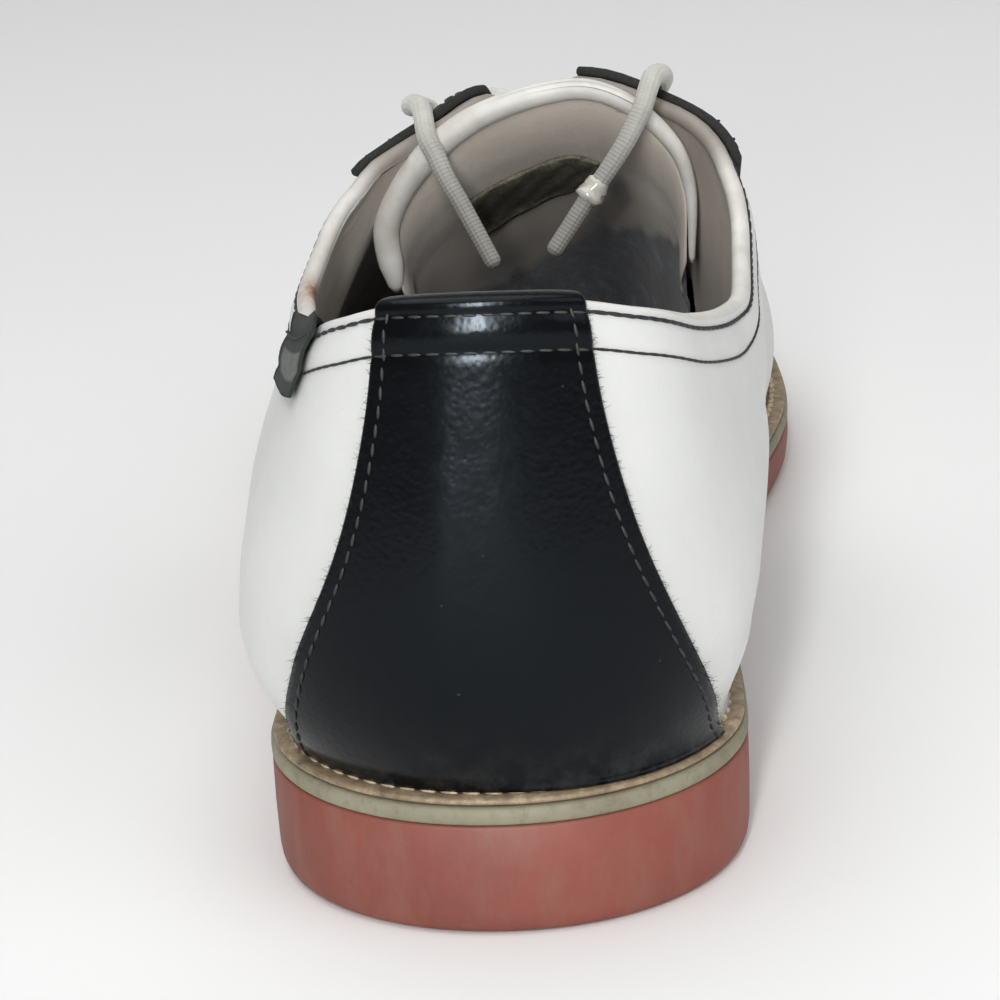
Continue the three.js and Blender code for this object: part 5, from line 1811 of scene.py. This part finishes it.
saddle_lines += [throat_line(side, 2.2) for side in (-1, 1)]
v_over = np.linspace(1.0, 2.0, 24)
for inset in (2.0, 4.6):
    half = np.full(24, step_at(front_edge(1.0) * LENGTH - inset))
    saddle_lines += [skin(side * half, v_over, OVER_BLACK) for side in (-1, 1)]
sew("saddle_stitches", saddle_lines, 2.4, 1.9, 0.5, 6, OLIVE_THREAD)
print("saddle seams:", len(saddle_lines), "lines")

# %% [markdown]
# ## Welt stitches and the tab's seam
# The welt is sewn through with thick tan thread, whose stitches lie in its groove, 2.9 mm in from the
# edge. The tab is caught by one short row of fine black stitches.

# %% Welt stitches and the tab's seam
xy = outline(wrap(np.append(LOOP, LOOP[0] + 6)), 2.9)
welt_line = np.concatenate([xy, welt_top(xy[:, 1:] + BACK) + 0.12], -1)
sew("welt_stitches", [welt_line], 3.0, 2.7, 1.15, 12, TAN_THREAD)
tab_w = np.linspace(TAB_REAR - 0.02, TAB_STEPS[1] + 0.004, 30)
tab_line = pushed(tab_w, below_edge(tab_w, np.full(30, 2.2)), np.full(30, GAP + 0.5 + 0.6 * RIBBON))
sew("tab_stitches", [tab_line], 1.8, 1.5, 0.42, 0, BLACK_THREAD)
print("welt seam:", len(welt_line), "points")

# %% [markdown]
# ## Floor and light
# A plain pale floor runs up into a plain backdrop. A narrow upright light stands behind the camera
# and gives the counter its streak, a wider one fills the medial side, and a large one hangs above,
# as in a small product studio. One big lamp would be simpler but would flatten the black leather.

# %% Floor and lights
def make_floor():
    bend = [(1400 + 600 * math.sin(t), 600 - 600 * math.cos(t)) for t in np.linspace(0, math.pi / 2, 9)[1:]]
    profile = [(-1500.0, 0.0), (1400.0, 0.0)] + bend + [(2000.0, 2600.0)]
    points = [(x, y, z) for x in (-2500.0, 2500.0) for y, z in profile]
    n = len(profile)
    faces = [[k, k + n, k + n + 1, k + 1] for k in range(n - 1)]
    material, tree, shader = start_material("matt_pale_floor")
    dress(tree, shader, shades(tree, grain(tree, 400, 2), [(0.3, "#F4F4F3"), (0.7, "#F9F9F8")]), 0.9)
    return make_object("floor", points, faces, [material], [0] * len(faces))


def area_light(name, place, aim, size, power):
    """A rectangular lamp: place, aim and size in metres, power in watts."""
    data = bpy.data.lights.new(name, "AREA")
    data.shape, data.energy = "RECTANGLE", power
    data.size, data.size_y = size
    lamp = bpy.data.objects.new(name, data)
    lamp.location = place
    lamp.rotation_euler = (Vector(aim) - Vector(place)).to_track_quat("-Z", "Y").to_euler()
    scene.collection.objects.link(lamp)
    return lamp


make_floor()
area_light("key", (-0.06, -1.1, 0.6), (0, 0.0, 0.04), (0.09, 0.9), 8.8)
strip = area_light("strip", (-0.05, -1.0, 0.62), (0, 0.0, 0.05), (0.05, 0.8), 15)
strip.visible_diffuse = False
area_light("fill", (0.9, -0.5, 1.0), (0, 0.05, 0.04), (1.0, 1.0), 3.6)
area_light("top", (-0.2, 0.1, 1.5), (0, 0.05, 0.04), (1.4, 1.4), 11)
world = bpy.data.worlds.new("studio")
world.use_nodes = True
world.node_tree.nodes["Background"].inputs[0].default_value = colour("#F2F4F6")
world.node_tree.nodes["Background"].inputs[1].default_value = 0.25
scene.world = world
print("lights:", len(bpy.data.lights))
